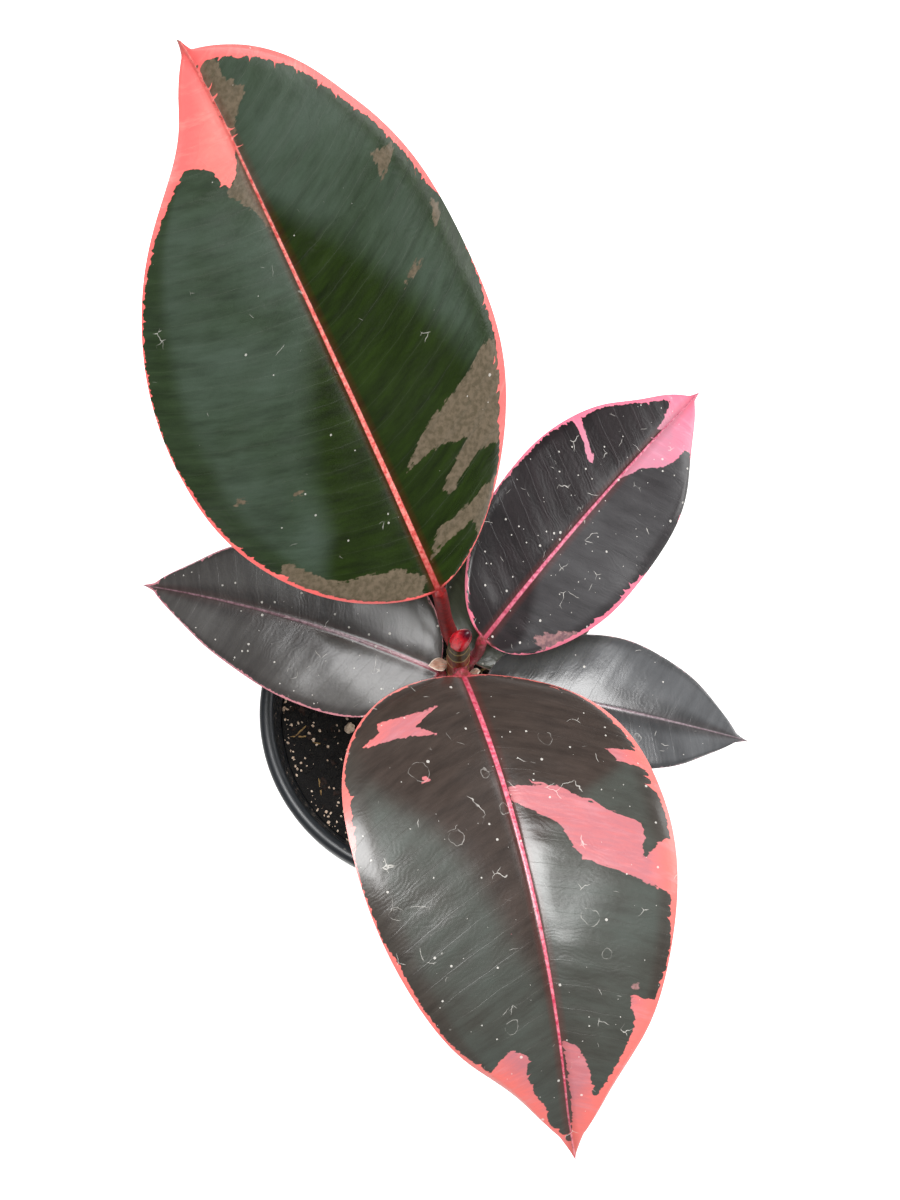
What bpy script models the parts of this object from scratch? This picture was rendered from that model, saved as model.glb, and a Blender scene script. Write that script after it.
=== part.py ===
"""A variegated rubber plant growing in a round nursery pot.

Metres, +Z up. The origin is the centre of the pot's flat underside, which rests on the
table. Heights on the plant are measured from the top of the potting mix, and a leaf's
place on the stem is measured from the stem's own axis, so the plant follows the pot.
"""
import math
import random

import bmesh
import bpy
from mathutils import Matrix, Vector

# ---------------------------------------------------------------- driving sizes, metres
GAP = 0.0003                 # clearance between pieces that touch in the real plant

POT_HEIGHT = 0.105
RIM_RADIUS = 0.060           # outside of the rolled lip
BASE_RADIUS = 0.042
WALL = 0.0014
FLOOR = 0.0020
LIP_HEIGHT = 0.010           # depth of the lip's outer skirt
LIP_OVERHANG = 0.0034        # from the wall's outer face to the skirt's outer face
BASE_EDGE = 0.0025           # rounding where the wall meets the underside
DRAIN_HOLES = 6
DRAIN_RADIUS = 0.0040
DRAIN_CIRCLE = 0.029         # radius of the circle that the drain holes stand on

SOIL_DEPTH = 0.012           # from the lip down to the potting mix
STEM_RADIUS = 0.0036         # at the potting mix
STEM_TAPER = 0.0005          # how much thinner the stem is at its top
STEM_HEIGHT = 0.115          # above the potting mix
STEM_STUB = 0.018            # buried length
STEM_LEAN = 0.0084           # sideways drift towards +X
LEAN_HEIGHT = 0.045          # height over which the stem drifts
NODE_SWELL = 0.00035         # ring scar at each leaf's foot
NODE_SPREAD = 0.0016         # half the height of a ring scar

BLADE_THICKNESS = 0.0008
PETIOLE_ELBOW = 0.4          # how gently a petiole turns into its blade; 0 is a sharp elbow
MIDRIB_SHARE = 0.62          # midrib radius at the blade's foot, as a share of the petiole's
TIP_RADIUS = 0.0003
BLADE_FOLD = 8.0             # degrees each half rises from the midrib
BLADE_CUP = -15.0            # degrees each half bends back down towards its margin

BUD_RADIUS = 0.0029
BUD_HEIGHT = 0.0095
BUD_TILT = 14.0              # degrees towards +X

PERLITE_GRAINS = 12
PERLITE_SIZE = (0.0016, 0.0028)      # smallest and largest radius
BARK_CHIPS = 6
BARK_SIZE = (0.0034, 0.0058)         # smallest and largest half length
TWIGS = 3
TWIG_RADIUS = 0.0006
TWIG_SIZE = (0.0055, 0.0080)         # smallest and largest half length
TWIG_CURL = (0.0006, 0.0014)         # how far a twig's ends bend aside
LITTER_MARGIN = 0.0035               # kept free beside the stem and beside the wall

# ---------------------------------------------------------------- how finely it is built
TURN_STEPS = 48              # sides of the pot and of the potting mix
BUD_SIDES = 20
STEM_STATIONS = 38
PETIOLE_STATIONS = 7
BLADE_STATIONS = 21
SHEATH_STATIONS = 9

# ---------------------------------------------------------------- worked out from them
SOIL_TOP = POT_HEIGHT - SOIL_DEPTH
WALL_TOP_RADIUS = RIM_RADIUS - LIP_OVERHANG

# Leaves, from the top of the stem down. down: from the stem's end to the petiole's foot;
# out, angle: compass direction and slope in which the petiole leaves; petiole: its radius;
# reach and rise: from its foot to the blade; heading, bend: the blade's direction at half
# length and its turn from foot to tip; climb: the slope of the blade at its foot and at its
# tip; left, right: half widths; widest: where along the blade; roll, twist: tilt to the side
# at half length and its change from foot to tip; base, tip: bluntness of the foot end and
# where the drip tip starts.
LEAVES = {
    "leaf_1": dict(down=0.011, out=119, angle=58, petiole=0.0021, reach=0.0069, rise=0.028,
                   heading=121, bend=7, climb=(40, 60), length=0.169, left=0.051, right=0.0485,
                   widest=0.45, roll=14, twist=4, base=0.63, tip=0.98, tip_width=0.09),
    "leaf_2": dict(down=0.021, out=276, angle=50, petiole=0.0020, reach=0.0048, rise=0.024,
                   heading=283, bend=-15, climb=(32, -42), length=0.145, left=0.0445,
                   right=0.046, widest=0.30, roll=-11, twist=26, base=0.46, tip=0.95,
                   tip_width=0.07),
    "leaf_3": dict(down=0.036, out=32, angle=50, petiole=0.0017, reach=0.0036, rise=0.018,
                   heading=51, bend=-5, climb=(-7, -13), length=0.112, left=0.0275,
                   right=0.0275, widest=0.44, roll=22, twist=-18, base=0.49, tip=0.97,
                   tip_width=0.13),
    "leaf_4": dict(down=0.053, out=192, angle=62, petiole=0.0017, reach=0.0006, rise=0.019,
                   heading=162, bend=9, climb=(8, -19), length=0.100, left=0.0248, right=0.0265,
                   widest=0.32, roll=-13, twist=-5, base=0.58, tip=0.96, tip_width=0.12),
    "leaf_5": dict(down=0.063, out=348, angle=45, petiole=0.0016, reach=0.0034, rise=0.015,
                   heading=348, bend=4, climb=(16, -24), length=0.087, left=0.0225, right=0.0185,
                   widest=0.45, roll=-4, twist=4, base=0.52, tip=0.95, tip_width=0.14),
    "leaf_6": dict(down=0.074, out=59, angle=45, petiole=0.0016, reach=0.0030, rise=0.015,
                   heading=56, bend=3, climb=(8, -12), length=0.078, left=0.024, right=0.026,
                   widest=0.42, roll=4, twist=0, base=0.52, tip=0.96, tip_width=0.12),
}

# Dried papery sheaths that clasp the stem: distance down from the stem's end, direction,
# length, half width and the slope at foot and tip.
SHEATHS = {
    "dried_sheath_1": dict(down=0.031, out=196, length=0.0085, half=0.0022, climb=(70, 20)),
    "dried_sheath_2": dict(down=0.045, out=352, length=0.0105, half=0.0018, climb=(82, 60)),
}


# ---------------------------------------------------------------- small helpers
def clear_scene():
    for thing in list(bpy.data.objects):
        bpy.data.objects.remove(thing, do_unlink=True)


def collection(name):
    made = bpy.data.collections.new(name)
    bpy.context.scene.collection.children.link(made)
    return made


def material(name, colour, roughness):
    made = bpy.data.materials.new(name)
    made.use_nodes = True
    shader = made.node_tree.nodes["Principled BSDF"]
    shader.inputs["Base Color"].default_value = (*colour, 1.0)
    shader.inputs["Roughness"].default_value = roughness
    return made


def add_object(name, data, home, finish):
    made = bpy.data.objects.new(name, data)
    home.objects.link(made)
    if finish:
        data.materials.append(finish)
    return made


def shade_round(mesh, angle=40):
    mesh.shade_smooth()
    mesh.set_sharp_from_angle(angle=math.radians(angle))


def compass(angle):
    """A level unit vector; 0 is +X and 90 is +Y."""
    return Vector((math.cos(math.radians(angle)), math.sin(math.radians(angle)), 0.0))


def arc(centre, radius, start, end, steps):
    """Points on an arc in the turning plane, from angle start to angle end."""
    angles = [math.radians(start + (end - start) * i / steps) for i in range(steps + 1)]
    return [(centre[0] + radius * math.cos(a), centre[1] + radius * math.sin(a)) for a in angles]


def turned(name, profile, home, finish, steps=TURN_STEPS):
    """A solid turned from a profile that runs from the axis outward, down and back."""
    mesh = bpy.data.meshes.new(name)
    points = [(radius, 0.0, height) for radius, height in profile]
    mesh.from_pydata(points, [(i, i + 1) for i in range(len(points) - 1)], [])
    made = add_object(name, mesh, home, finish)
    screw = made.modifiers.new("turn", "SCREW")
    screw.steps = steps
    screw.render_steps = steps
    screw.use_merge_vertices = True
    screw.merge_threshold = 0.00001
    screw.use_smooth_shade = True
    return made


def rod(name, points, radii, home, finish, resolution=2):
    """A round rod with its own radius at each point."""
    curve = bpy.data.curves.new(name, "CURVE")
    curve.dimensions = "3D"
    curve.bevel_depth = 1.0
    curve.bevel_resolution = resolution
    curve.use_fill_caps = True
    curve.render_resolution_u = 0
    spline = curve.splines.new("POLY")
    spline.points.add(len(points) - 1)
    for vertex, point, radius in zip(spline.points, points, radii):
        vertex.co = (*point, 1.0)
        vertex.radius = radius
    return add_object(name, curve, home, finish)


def loft(name, rings, tip, home, finish):
    """A closed skin through rings of equal count, flat at its foot and pointed at its tip."""
    work = bmesh.new()
    loops = [[work.verts.new(point) for point in ring] for ring in rings]
    point = work.verts.new(tip)
    count = len(loops[0])
    for near, far in zip(loops, loops[1:]):
        for i in range(count):
            j = (i + 1) % count
            work.faces.new((near[i], near[j], far[j], far[i]))
    work.faces.new(list(reversed(loops[0])))
    for i in range(count):
        work.faces.new((loops[-1][i], loops[-1][(i + 1) % count], point))
    bmesh.ops.recalc_face_normals(work, faces=work.faces)
    mesh = bpy.data.meshes.new(name)
    work.to_mesh(mesh)
    work.free()
    shade_round(mesh, 60)
    return add_object(name, mesh, home, finish)


# ---------------------------------------------------------------- pot and potting mix
def wall_radius(height):
    """Outer radius of the pot's tapered wall."""
    return BASE_RADIUS + (WALL_TOP_RADIUS - BASE_RADIUS) * height / POT_HEIGHT


def nursery_pot(home, cutters, finish):
    """A thin tapered shell whose lip rolls outward into a short hanging skirt."""
    inner_top = wall_radius(POT_HEIGHT) - WALL
    crown = (RIM_RADIUS - inner_top) / 2
    crown_centre = (inner_top + crown, POT_HEIGHT - crown)
    under_lip = POT_HEIGHT - WALL
    profile = [(0.0, FLOOR), (wall_radius(FLOOR) - WALL, FLOOR)]
    profile += arc(crown_centre, crown, 180, 0, 6)
    profile += [(RIM_RADIUS, POT_HEIGHT - LIP_HEIGHT)]
    profile += [(RIM_RADIUS - WALL, POT_HEIGHT - LIP_HEIGHT)]
    profile += arc(crown_centre, under_lip - crown_centre[1], 0, 180, 4)
    profile += arc((BASE_RADIUS - BASE_EDGE, BASE_EDGE), BASE_EDGE, 0, -90, 3)
    profile += [(0.0, 0.0)]
    pot = turned("nursery_pot", profile, home, finish)
    for index in range(DRAIN_HOLES):
        work = bmesh.new()
        place = compass(360 * index / DRAIN_HOLES) * DRAIN_CIRCLE
        bmesh.ops.create_cone(work, cap_ends=True, segments=16, radius1=DRAIN_RADIUS,
                              radius2=DRAIN_RADIUS, depth=4 * FLOOR,
                              matrix=Matrix.Translation(place))
        mesh = bpy.data.meshes.new(f"drain_{index + 1}")
        work.to_mesh(mesh)
        work.free()
        cutter = add_object(mesh.name, mesh, cutters, None)
        cutter.hide_render = True
        cutter.display_type = "WIRE"
        cut = pot.modifiers.new(mesh.name, "BOOLEAN")
        cut.operation = "DIFFERENCE"
        cut.solver = "EXACT"
        cut.object = cutter
    return pot


def soil_radius(height):
    """The potting mix fills the pot up to a small clearance."""
    return wall_radius(height) - WALL - GAP


def potting_soil(home, finish):
    """A solid plug of potting mix with a planting hole for the buried end of the stem."""
    hole = STEM_RADIUS + GAP
    bottom = FLOOR + GAP
    profile = [(0.0, SOIL_TOP - STEM_STUB), (hole, SOIL_TOP - STEM_STUB), (hole, SOIL_TOP)]
    profile += [(soil_radius(SOIL_TOP), SOIL_TOP), (soil_radius(bottom), bottom), (0.0, bottom)]
    return turned("potting_soil", profile, home, finish)


# ---------------------------------------------------------------- stem
def stem_axis(height):
    """The stem's centre at a height above the potting mix; it drifts gently to +X."""
    share = min(max(height / LEAN_HEIGHT, 0.0), 1.0)
    return Vector((STEM_LEAN * share * share * (3 - 2 * share), 0.0, SOIL_TOP + height))


def foot_height(growth):
    """Height above the potting mix of what grows from the stem."""
    return STEM_HEIGHT - growth["down"]


def stem_radius(height):
    """Tapers upward and swells into a ring at every leaf's foot."""
    plain = STEM_RADIUS - STEM_TAPER * max(height, 0.0) / STEM_HEIGHT
    swell = sum(math.exp(-((height - foot_height(leaf)) / NODE_SPREAD) ** 2)
                for leaf in LEAVES.values())
    return plain + NODE_SWELL * min(swell, 1.0)


def stem(home, finish):
    levels = [-STEM_STUB + GAP, 0.0]
    levels += [STEM_HEIGHT * (i + 1) / STEM_STATIONS for i in range(STEM_STATIONS)]
    points = [stem_axis(level) for level in levels]
    radii = [STEM_RADIUS if level <= 0 else stem_radius(level) for level in levels]
    return rod("stem", points, radii, home, finish)


def terminal_bud(home, finish):
    """The short red sheath that wraps the next leaf, standing on the stem's end."""
    steps = 7
    profile = [(0.0, BUD_HEIGHT)]
    for i in range(1, steps):
        share = i / steps
        profile.append((BUD_RADIUS * math.sin(math.pi * share / 2) ** 0.8,
                        BUD_HEIGHT * (1 - share ** 1.6)))
    profile += [(BUD_RADIUS, BUD_HEIGHT * 0.06), (BUD_RADIUS * 0.7, 0.0), (0.0, 0.0)]
    bud = turned("terminal_bud", profile, home, finish, steps=BUD_SIDES)
    tilt = math.radians(BUD_TILT)
    lift = BUD_RADIUS * 0.7 * math.sin(tilt) + GAP
    bud.location = stem_axis(STEM_HEIGHT) + Vector((0, 0, lift))
    bud.rotation_euler = (0, tilt, 0)
    return bud


# ---------------------------------------------------------------- leaves
def half_width(share, leaf):
    """Blade width along its length, 0 to 1: a blunt oval that ends in a slim drip tip."""
    widest, body_end = leaf["widest"], leaf["tip"]
    if share < widest:
        body = (1 - ((widest - share) / widest) ** 2.2) ** leaf["base"]
    else:
        body = max(1 - ((share - widest) / (body_end - widest)) ** 2, 0.0) ** 0.85
    slim = min((1 - share) / (1.12 - body_end), 1.0) * leaf["tip_width"]
    slim *= min(max((share - body_end + 0.25) / 0.20, 0.0), 1.0)
    return math.hypot(body, slim)


def blade_frames(leaf, foot, shares):
    """Centre, side and up direction of the blade at each share of its length."""
    frames = []
    centre = foot.copy()
    last = 0.0
    for share in shares:
        heading = leaf["heading"] + leaf["bend"] * (share - 0.5)
        climb = leaf["climb"][0] + (leaf["climb"][1] - leaf["climb"][0]) * share
        level = compass(heading)
        slope = math.radians(climb)
        along = level * math.cos(slope) + Vector((0, 0, math.sin(slope)))
        centre = centre + along * (share - last) * leaf["length"]
        last = share
        side = compass(heading + 90)
        up = along.cross(side)
        roll = math.radians(leaf["roll"] + leaf["twist"] * (share - 0.5))
        frames.append((centre.copy(), side * math.cos(roll) + up * math.sin(roll),
                       up * math.cos(roll) - side * math.sin(roll), along))
    return frames


def blade_point(across, width, centre, side, up):
    """A point on the blade's middle surface and the direction out of its upper face."""
    sign = 1 if across >= 0 else -1
    share = abs(across) / width
    fold, cup = math.radians(BLADE_FOLD), math.radians(BLADE_CUP)
    angle = fold + cup * share
    level = (math.sin(angle) - math.sin(fold)) / cup * width
    rise = (math.cos(fold) - math.cos(angle)) / cup * width
    outward = up * math.cos(angle) - side * sign * math.sin(angle)
    return centre + side * sign * level + up * rise, outward


def blade_ring(leaf, share, frame):
    """One section of the blade: nine points over the upper face and seven beneath it."""
    centre, side, up, _ = frame
    rib = leaf["petiole"] * MIDRIB_SHARE * (1 - share) + TIP_RADIUS * share
    span = half_width(share, leaf)
    left = max(leaf["left"] * span, rib + TIP_RADIUS)
    right = max(leaf["right"] * span, rib + TIP_RADIUS)
    thick = min(BLADE_THICKNESS / 2, min(left, right) / 2)

    def station(step):
        width = left if step > 0 else right
        inner = min(rib, width / 2)
        reach = 0.0 if step == 0 else inner + (width - inner) * (abs(step) - 1) / 3
        return blade_point(math.copysign(reach, step), width, centre, side, up)

    over, under = [], []
    for step in range(-4, 5):
        point, outward = station(step)
        edge = abs(step) == 4
        over.append(point if edge else point + outward * thick)
        if not edge:
            under.append(point - outward * (thick + (rib if step == 0 else 0.0)))
    return over + list(reversed(under))


def petiole_rings(leaf, angle, start, end, frame, count):
    """Round sections along a smooth stalk from the stem to the blade."""
    side, along = frame[1], frame[3]
    length = (end - start).length
    launch = (compass(leaf["out"]) * math.cos(angle) + Vector((0, 0, math.sin(angle)))) * length
    arrive = along * length * PETIOLE_ELBOW
    rings = []
    for i in range(count):
        u = i / count
        centre = (start * (2 * u ** 3 - 3 * u ** 2 + 1) + launch * (u ** 3 - 2 * u ** 2 + u)
                  + end * (3 * u ** 2 - 2 * u ** 3) + arrive * (u ** 3 - u ** 2))
        heading = (start * (6 * u ** 2 - 6 * u) + launch * (3 * u ** 2 - 4 * u + 1)
                   + end * (6 * u - 6 * u ** 2) + arrive * (3 * u ** 2 - 2 * u)).normalized()
        across = (side - heading * side.dot(heading)).normalized()
        above = heading.cross(across)
        ring = []
        for k in range(16):
            turn = math.pi * (1 - k / 8)
            ring.append(centre + (across * math.cos(turn) + above * math.sin(turn))
                        * leaf["petiole"])
        rings.append(ring)
    return rings


def leaf_blade(name, leaf, home, finish):
    """Petiole, midrib and blade in one skin, as the leaf grows."""
    angle = math.radians(leaf["angle"])
    height = foot_height(leaf)
    axis = stem_axis(height)
    clear = stem_radius(height) + GAP + leaf["petiole"] * math.sin(angle)
    start = axis + compass(leaf["out"]) * clear
    end = start + compass(leaf["out"]) * leaf["reach"] + Vector((0, 0, leaf["rise"]))
    shares = [(1 - math.cos(math.pi * (i + 0.5) / BLADE_STATIONS)) / 2
              for i in range(BLADE_STATIONS)]
    frames = blade_frames(leaf, end, [0.0] + shares + [1.0])
    rings = petiole_rings(leaf, angle, start, end, frames[0], PETIOLE_STATIONS)
    rings += [blade_ring(leaf, share, frame) for share, frame in zip(shares, frames[1:-1])]
    return loft(name, rings, frames[-1][0], home, finish)


def dried_sheath(name, sheath, home, finish):
    """A withered, pointed papery sheath that stands off the stem."""
    shape = dict(heading=sheath["out"], bend=0, climb=sheath["climb"], length=sheath["length"],
                 left=sheath["half"], right=sheath["half"], widest=0.35, roll=0, twist=0,
                 base=0.5, tip=0.95, tip_width=0.1, petiole=2 * TIP_RADIUS)
    height = foot_height(sheath)
    clear = stem_radius(height) + NODE_SWELL + 3 * GAP + TIP_RADIUS
    foot = stem_axis(height) + compass(sheath["out"]) * clear
    shares = [(i + 0.5) / SHEATH_STATIONS for i in range(SHEATH_STATIONS)]
    frames = blade_frames(shape, foot, shares + [1.0])
    rings = [blade_ring(shape, share, frame) for share, frame in zip(shares, frames[:-1])]
    return loft(name, rings, frames[-1][0], home, finish)


# ---------------------------------------------------------------- what lies on the soil
def scatter(chance, taken, size):
    """A free spot on the potting mix between the stem and the wall."""
    inner = STEM_RADIUS + size + LITTER_MARGIN
    outer = soil_radius(SOIL_TOP) - size - LITTER_MARGIN
    for _ in range(400):
        spot = compass(chance.uniform(0, 360)) * math.sqrt(chance.uniform(inner ** 2, outer ** 2))
        if all((spot - other).length > size + near + GAP for other, near in taken):
            taken.append((spot, size))
            return spot
    raise ValueError("the potting mix has no room left for another piece")


def lump(name, stretch, chance, rough, home, finish):
    """An irregular grain: a ball whose points move in and out, then stretched."""
    work = bmesh.new()
    bmesh.ops.create_icosphere(work, subdivisions=2, radius=1.0)
    for vertex in work.verts:
        vertex.co *= chance.uniform(1 - rough, 1.0)
        vertex.co.x *= stretch[0]
        vertex.co.y *= stretch[1]
        vertex.co.z *= stretch[2]
    bmesh.ops.rotate(work, verts=work.verts, matrix=Matrix.Rotation(chance.uniform(0, 6.3), 3, "Z"))
    mesh = bpy.data.meshes.new(name)
    work.to_mesh(mesh)
    work.free()
    shade_round(mesh, 30)
    return add_object(name, mesh, home, finish)


def rest_on_soil(made, spot):
    lowest = min(vertex.co.z for vertex in made.data.vertices)
    made.location = spot + Vector((0, 0, SOIL_TOP + GAP - lowest))


def perlite(home, finish, chance, taken):
    for index in range(PERLITE_GRAINS):
        size = chance.uniform(*PERLITE_SIZE)
        stretch = (size, size * chance.uniform(0.7, 1.0), size * chance.uniform(0.6, 0.9))
        grain = lump(f"perlite_{index + 1}", stretch, chance, 0.16, home, finish)
        rest_on_soil(grain, scatter(chance, taken, size))


def bark(home, finish, chance, taken):
    for index in range(BARK_CHIPS):
        size = chance.uniform(*BARK_SIZE)
        stretch = (size, size * chance.uniform(0.4, 0.6), size * 0.22)
        chip = lump(f"bark_chip_{index + 1}", stretch, chance, 0.22, home, finish)
        rest_on_soil(chip, scatter(chance, taken, size))


def twigs(home, finish, chance, taken):
    for index in range(TWIGS):
        half = chance.uniform(*TWIG_SIZE)
        spot = scatter(chance, taken, half)
        lie = compass(chance.uniform(0, 180))
        curl = Vector((-lie.y, lie.x, 0.0)) * chance.uniform(*TWIG_CURL)
        points = []
        for step in range(-3, 4):
            share = step / 3
            level = Vector((0, 0, SOIL_TOP + GAP + TWIG_RADIUS * 1.2))
            points.append(spot + lie * half * share + curl * share ** 2 + level)
        radii = [TWIG_RADIUS * (1 - 0.12 * abs(step)) for step in range(-3, 4)]
        rod(f"twig_{index + 1}", points, radii, home, finish)


def main():
    clear_scene()
    plant = collection("potted_rubber_plant")
    cutters = collection("cutters")
    black_plastic = material("black_polypropylene", (0.012, 0.013, 0.014), 0.42)
    peat = material("peat_mix", (0.020, 0.013, 0.010), 0.95)
    bark_brown = material("bark", (0.085, 0.040, 0.022), 0.85)
    straw = material("straw", (0.30, 0.19, 0.10), 0.80)
    grain_white = material("perlite", (0.70, 0.62, 0.50), 0.90)
    green_stem = material("young_stem", (0.060, 0.045, 0.012), 0.38)
    red_sheath = material("red_sheath", (0.42, 0.008, 0.012), 0.22)
    papery = material("papery_sheath", (0.42, 0.27, 0.20), 0.75)
    green_leaf = material("green_leaf", (0.022, 0.040, 0.020), 0.30)
    dark_leaf = material("dark_leaf", (0.045, 0.042, 0.040), 0.35)

    nursery_pot(plant, cutters, black_plastic)
    potting_soil(plant, peat)
    stem(plant, green_stem)
    terminal_bud(plant, red_sheath)
    for name, leaf in LEAVES.items():
        leaf_blade(name, leaf, plant, green_leaf if name == "leaf_1" else dark_leaf)
    for name, sheath in SHEATHS.items():
        dried_sheath(name, sheath, plant, papery)
    chance = random.Random(12)
    taken = []
    bark(plant, bark_brown, chance, taken)
    twigs(plant, straw, chance, taken)
    perlite(plant, grain_white, chance, taken)


main()
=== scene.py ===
"""Looks of a variegated rubber plant in a black nursery pot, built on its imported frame.

Metres, +Z up. Every leaf is grown again from the sizes that the model was made with, far
finer. Its plain outline is fitted to the box of its own node, so size and place stay the
frame's; only its drip tip and the foot that joins it to the stem pass that box a little.
"""
import math
import random
import bpy
import numpy as np
from mathutils import Matrix, Vector, noise


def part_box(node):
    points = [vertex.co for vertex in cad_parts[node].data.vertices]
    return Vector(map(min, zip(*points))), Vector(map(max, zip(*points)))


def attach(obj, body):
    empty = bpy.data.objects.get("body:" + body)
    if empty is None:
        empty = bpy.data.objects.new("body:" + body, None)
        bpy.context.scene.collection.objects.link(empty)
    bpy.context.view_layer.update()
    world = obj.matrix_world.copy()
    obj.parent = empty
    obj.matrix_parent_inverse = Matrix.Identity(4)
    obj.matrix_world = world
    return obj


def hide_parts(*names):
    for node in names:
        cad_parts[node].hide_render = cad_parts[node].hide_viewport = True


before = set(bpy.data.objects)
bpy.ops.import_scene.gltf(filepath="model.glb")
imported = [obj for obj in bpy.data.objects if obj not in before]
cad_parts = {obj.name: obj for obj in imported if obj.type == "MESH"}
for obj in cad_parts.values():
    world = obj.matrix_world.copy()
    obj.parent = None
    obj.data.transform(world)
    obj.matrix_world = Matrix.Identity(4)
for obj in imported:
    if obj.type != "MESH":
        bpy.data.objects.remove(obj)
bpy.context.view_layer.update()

MM = 0.001

# ---------------------------------------------------------------- sizes of the model, metres
GAP = 0.0003
POT_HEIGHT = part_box("nursery_pot")[1].z
RIM_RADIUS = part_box("nursery_pot")[1].x
BASE_RADIUS = 0.042
WALL = 0.0014
FLOOR = 0.0020
LIP_HEIGHT = 0.010
LIP_OVERHANG = 0.0034
BASE_EDGE = 0.0025
DRAIN_HOLES = 6
DRAIN_RADIUS = 0.0040
DRAIN_CIRCLE = 0.029
SOIL_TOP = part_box("potting_soil")[1].z
STEM_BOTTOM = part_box("stem")[0].z
STEM_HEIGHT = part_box("stem")[1].z - SOIL_TOP
STEM_RADIUS = 0.0036
STEM_TAPER = 0.0005
STEM_LEAN = 0.0084
LEAN_HEIGHT = 0.045
NODE_SWELL = 0.00035
NODE_SPREAD = 0.0016
BLADE_THICKNESS = 0.0008
PETIOLE_ELBOW = 0.4
PETIOLE_SECTIONS = 26
MIDRIB_SHARE = 0.62
TIP_RADIUS = 0.0003
BLADE_FOLD = math.radians(8)
BLADE_CUP = math.radians(-15)
BLADE_STATIONS = 21
BUD_RADIUS = 0.0029
BUD_HEIGHT = 0.0095
TWIG_RADIUS = 0.0006

# Spacings of what shows on a blade, millimetres.
VEIN_SPACING = 6.6
RIBBING_SPACING = 1.7
LOBE_WIDTH = 3.5

# Settings of a Mix node that blends two colours; it gives its colour at output 2.
BLEND = dict(out=2, data_type="RGBA")

# A blade that narrows evenly to its tip, as the model's own blades do, and one with a short
# drip tip.
PLAIN_OUTLINE = dict(cusp=(0.05, 0.05), fullness=(0.85, 0.85), drawn_in=(0, 0, 0.9, 0.1),
                     hook=0, drip=0)
SMALL_TIP = dict(cusp=(0.5, 0.5), fullness=(0.85, 0.85), drawn_in=(0.1, 0.1, 0.88, 0.08),
                 hook=0, drip=0.5, pleats=0.04)

# The leaves' own sizes; directions in degrees, 0 is +X and 90 is +Y. The petiole leaves the
# stem at `down` below its top, towards `out`, at `angle` above the level, and ends `reach`
# further out and `rise` higher. The blade points to `heading` at half length and turns by
# `bend`; `climb` is its slope at foot and tip; `roll` tilts it and `twist` is how the tilt
# changes. `left` and `right` are half widths, `widest` is where along the blade they are
# reached, `base` how blunt its foot end is and `tip` where its body ends. Pairs are for the left
# and the right: `cusp` is how wide the drip tip starts and `fullness` how full the blade is
# near it; `drawn_in` is how far each side is drawn in there, then the place and the spread.
# `hook`, `drip` and `pleats` are in millimetres: how far the very tip bends aside, how far it
# is drawn out, and how deep the folds between the veins are.
LEAVES = {
    "leaf_1": dict(down=0.011, out=119, angle=58, petiole=0.0021, reach=0.0069, rise=0.028,
                   heading=121, bend=7, climb=(40, 60), length=0.169, left=0.051, right=0.0485,
                   widest=0.45, roll=14, twist=4, base=0.63, tip=0.98, pleats=0.09,
                   cusp=(0.5, 0.8), fullness=(0.85, 0.7), drawn_in=(0.4, 0, 0.92, 0.08), hook=1.4,
                   drip=1.6),
    "leaf_2": dict(down=0.021, out=276, angle=50, petiole=0.0020, reach=0.0048, rise=0.024,
                   heading=283, bend=-15, climb=(32, -42), length=0.145, left=0.0445,
                   right=0.046, widest=0.30, roll=-11, twist=26, base=0.46, tip=0.95,
                   pleats=0.07, cusp=(0.7, 0.7), fullness=(0.85, 0.85),
                   drawn_in=(0.22, 0.22, 0.89, 0.09), hook=1.4, drip=3.0),
    "leaf_3": dict(down=0.036, out=32, angle=50, petiole=0.0017, reach=0.0036, rise=0.018,
                   heading=51, bend=-5, climb=(-7, -13), length=0.112, left=0.0275,
                   right=0.0275, widest=0.44, roll=22, twist=-18, base=0.49, tip=0.97,
                   pleats=0.04, cusp=(0.7, 0.45), fullness=(0.8, 0.85),
                   drawn_in=(0.22, 0.1, 0.89, 0.1), hook=0, drip=0.5),
    "leaf_4": dict(down=0.053, out=192, angle=62, petiole=0.0017, reach=0.0006, rise=0.019,
                   heading=162, bend=9, climb=(8, -19), length=0.100, left=0.0248, right=0.0265,
                   widest=0.32, roll=-13, twist=-5, base=0.58, tip=0.96, **SMALL_TIP),
    "leaf_5": dict(down=0.063, out=348, angle=45, petiole=0.0016, reach=0.0034, rise=0.015,
                   heading=348, bend=4, climb=(16, -24), length=0.087, left=0.0225, right=0.0185,
                   widest=0.45, roll=-4, twist=4, base=0.52, tip=0.95, **SMALL_TIP),
    "leaf_6": dict(down=0.074, out=59, angle=45, petiole=0.0016, reach=0.0030, rise=0.015,
                   heading=56, bend=3, climb=(8, -12), length=0.078, left=0.024, right=0.026,
                   widest=0.42, roll=4, twist=0, base=0.52, tip=0.96, **SMALL_TIP),
}

# The dried sheaths below the upper leaves; set_off moves each one against the stem, in
# millimetres.
SHEATHS = {
    "dried_sheath_1": dict(down=0.031, out=196, length=0.0085, half=0.0022, climb=(70, 20),
                           set_off=(1.2, 1.2, 1.5)),
    "dried_sheath_2": dict(down=0.045, out=352, length=0.0105, half=0.0018, climb=(82, 60),
                           set_off=(-1.6, 0.1, 0.0)),
}

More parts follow.
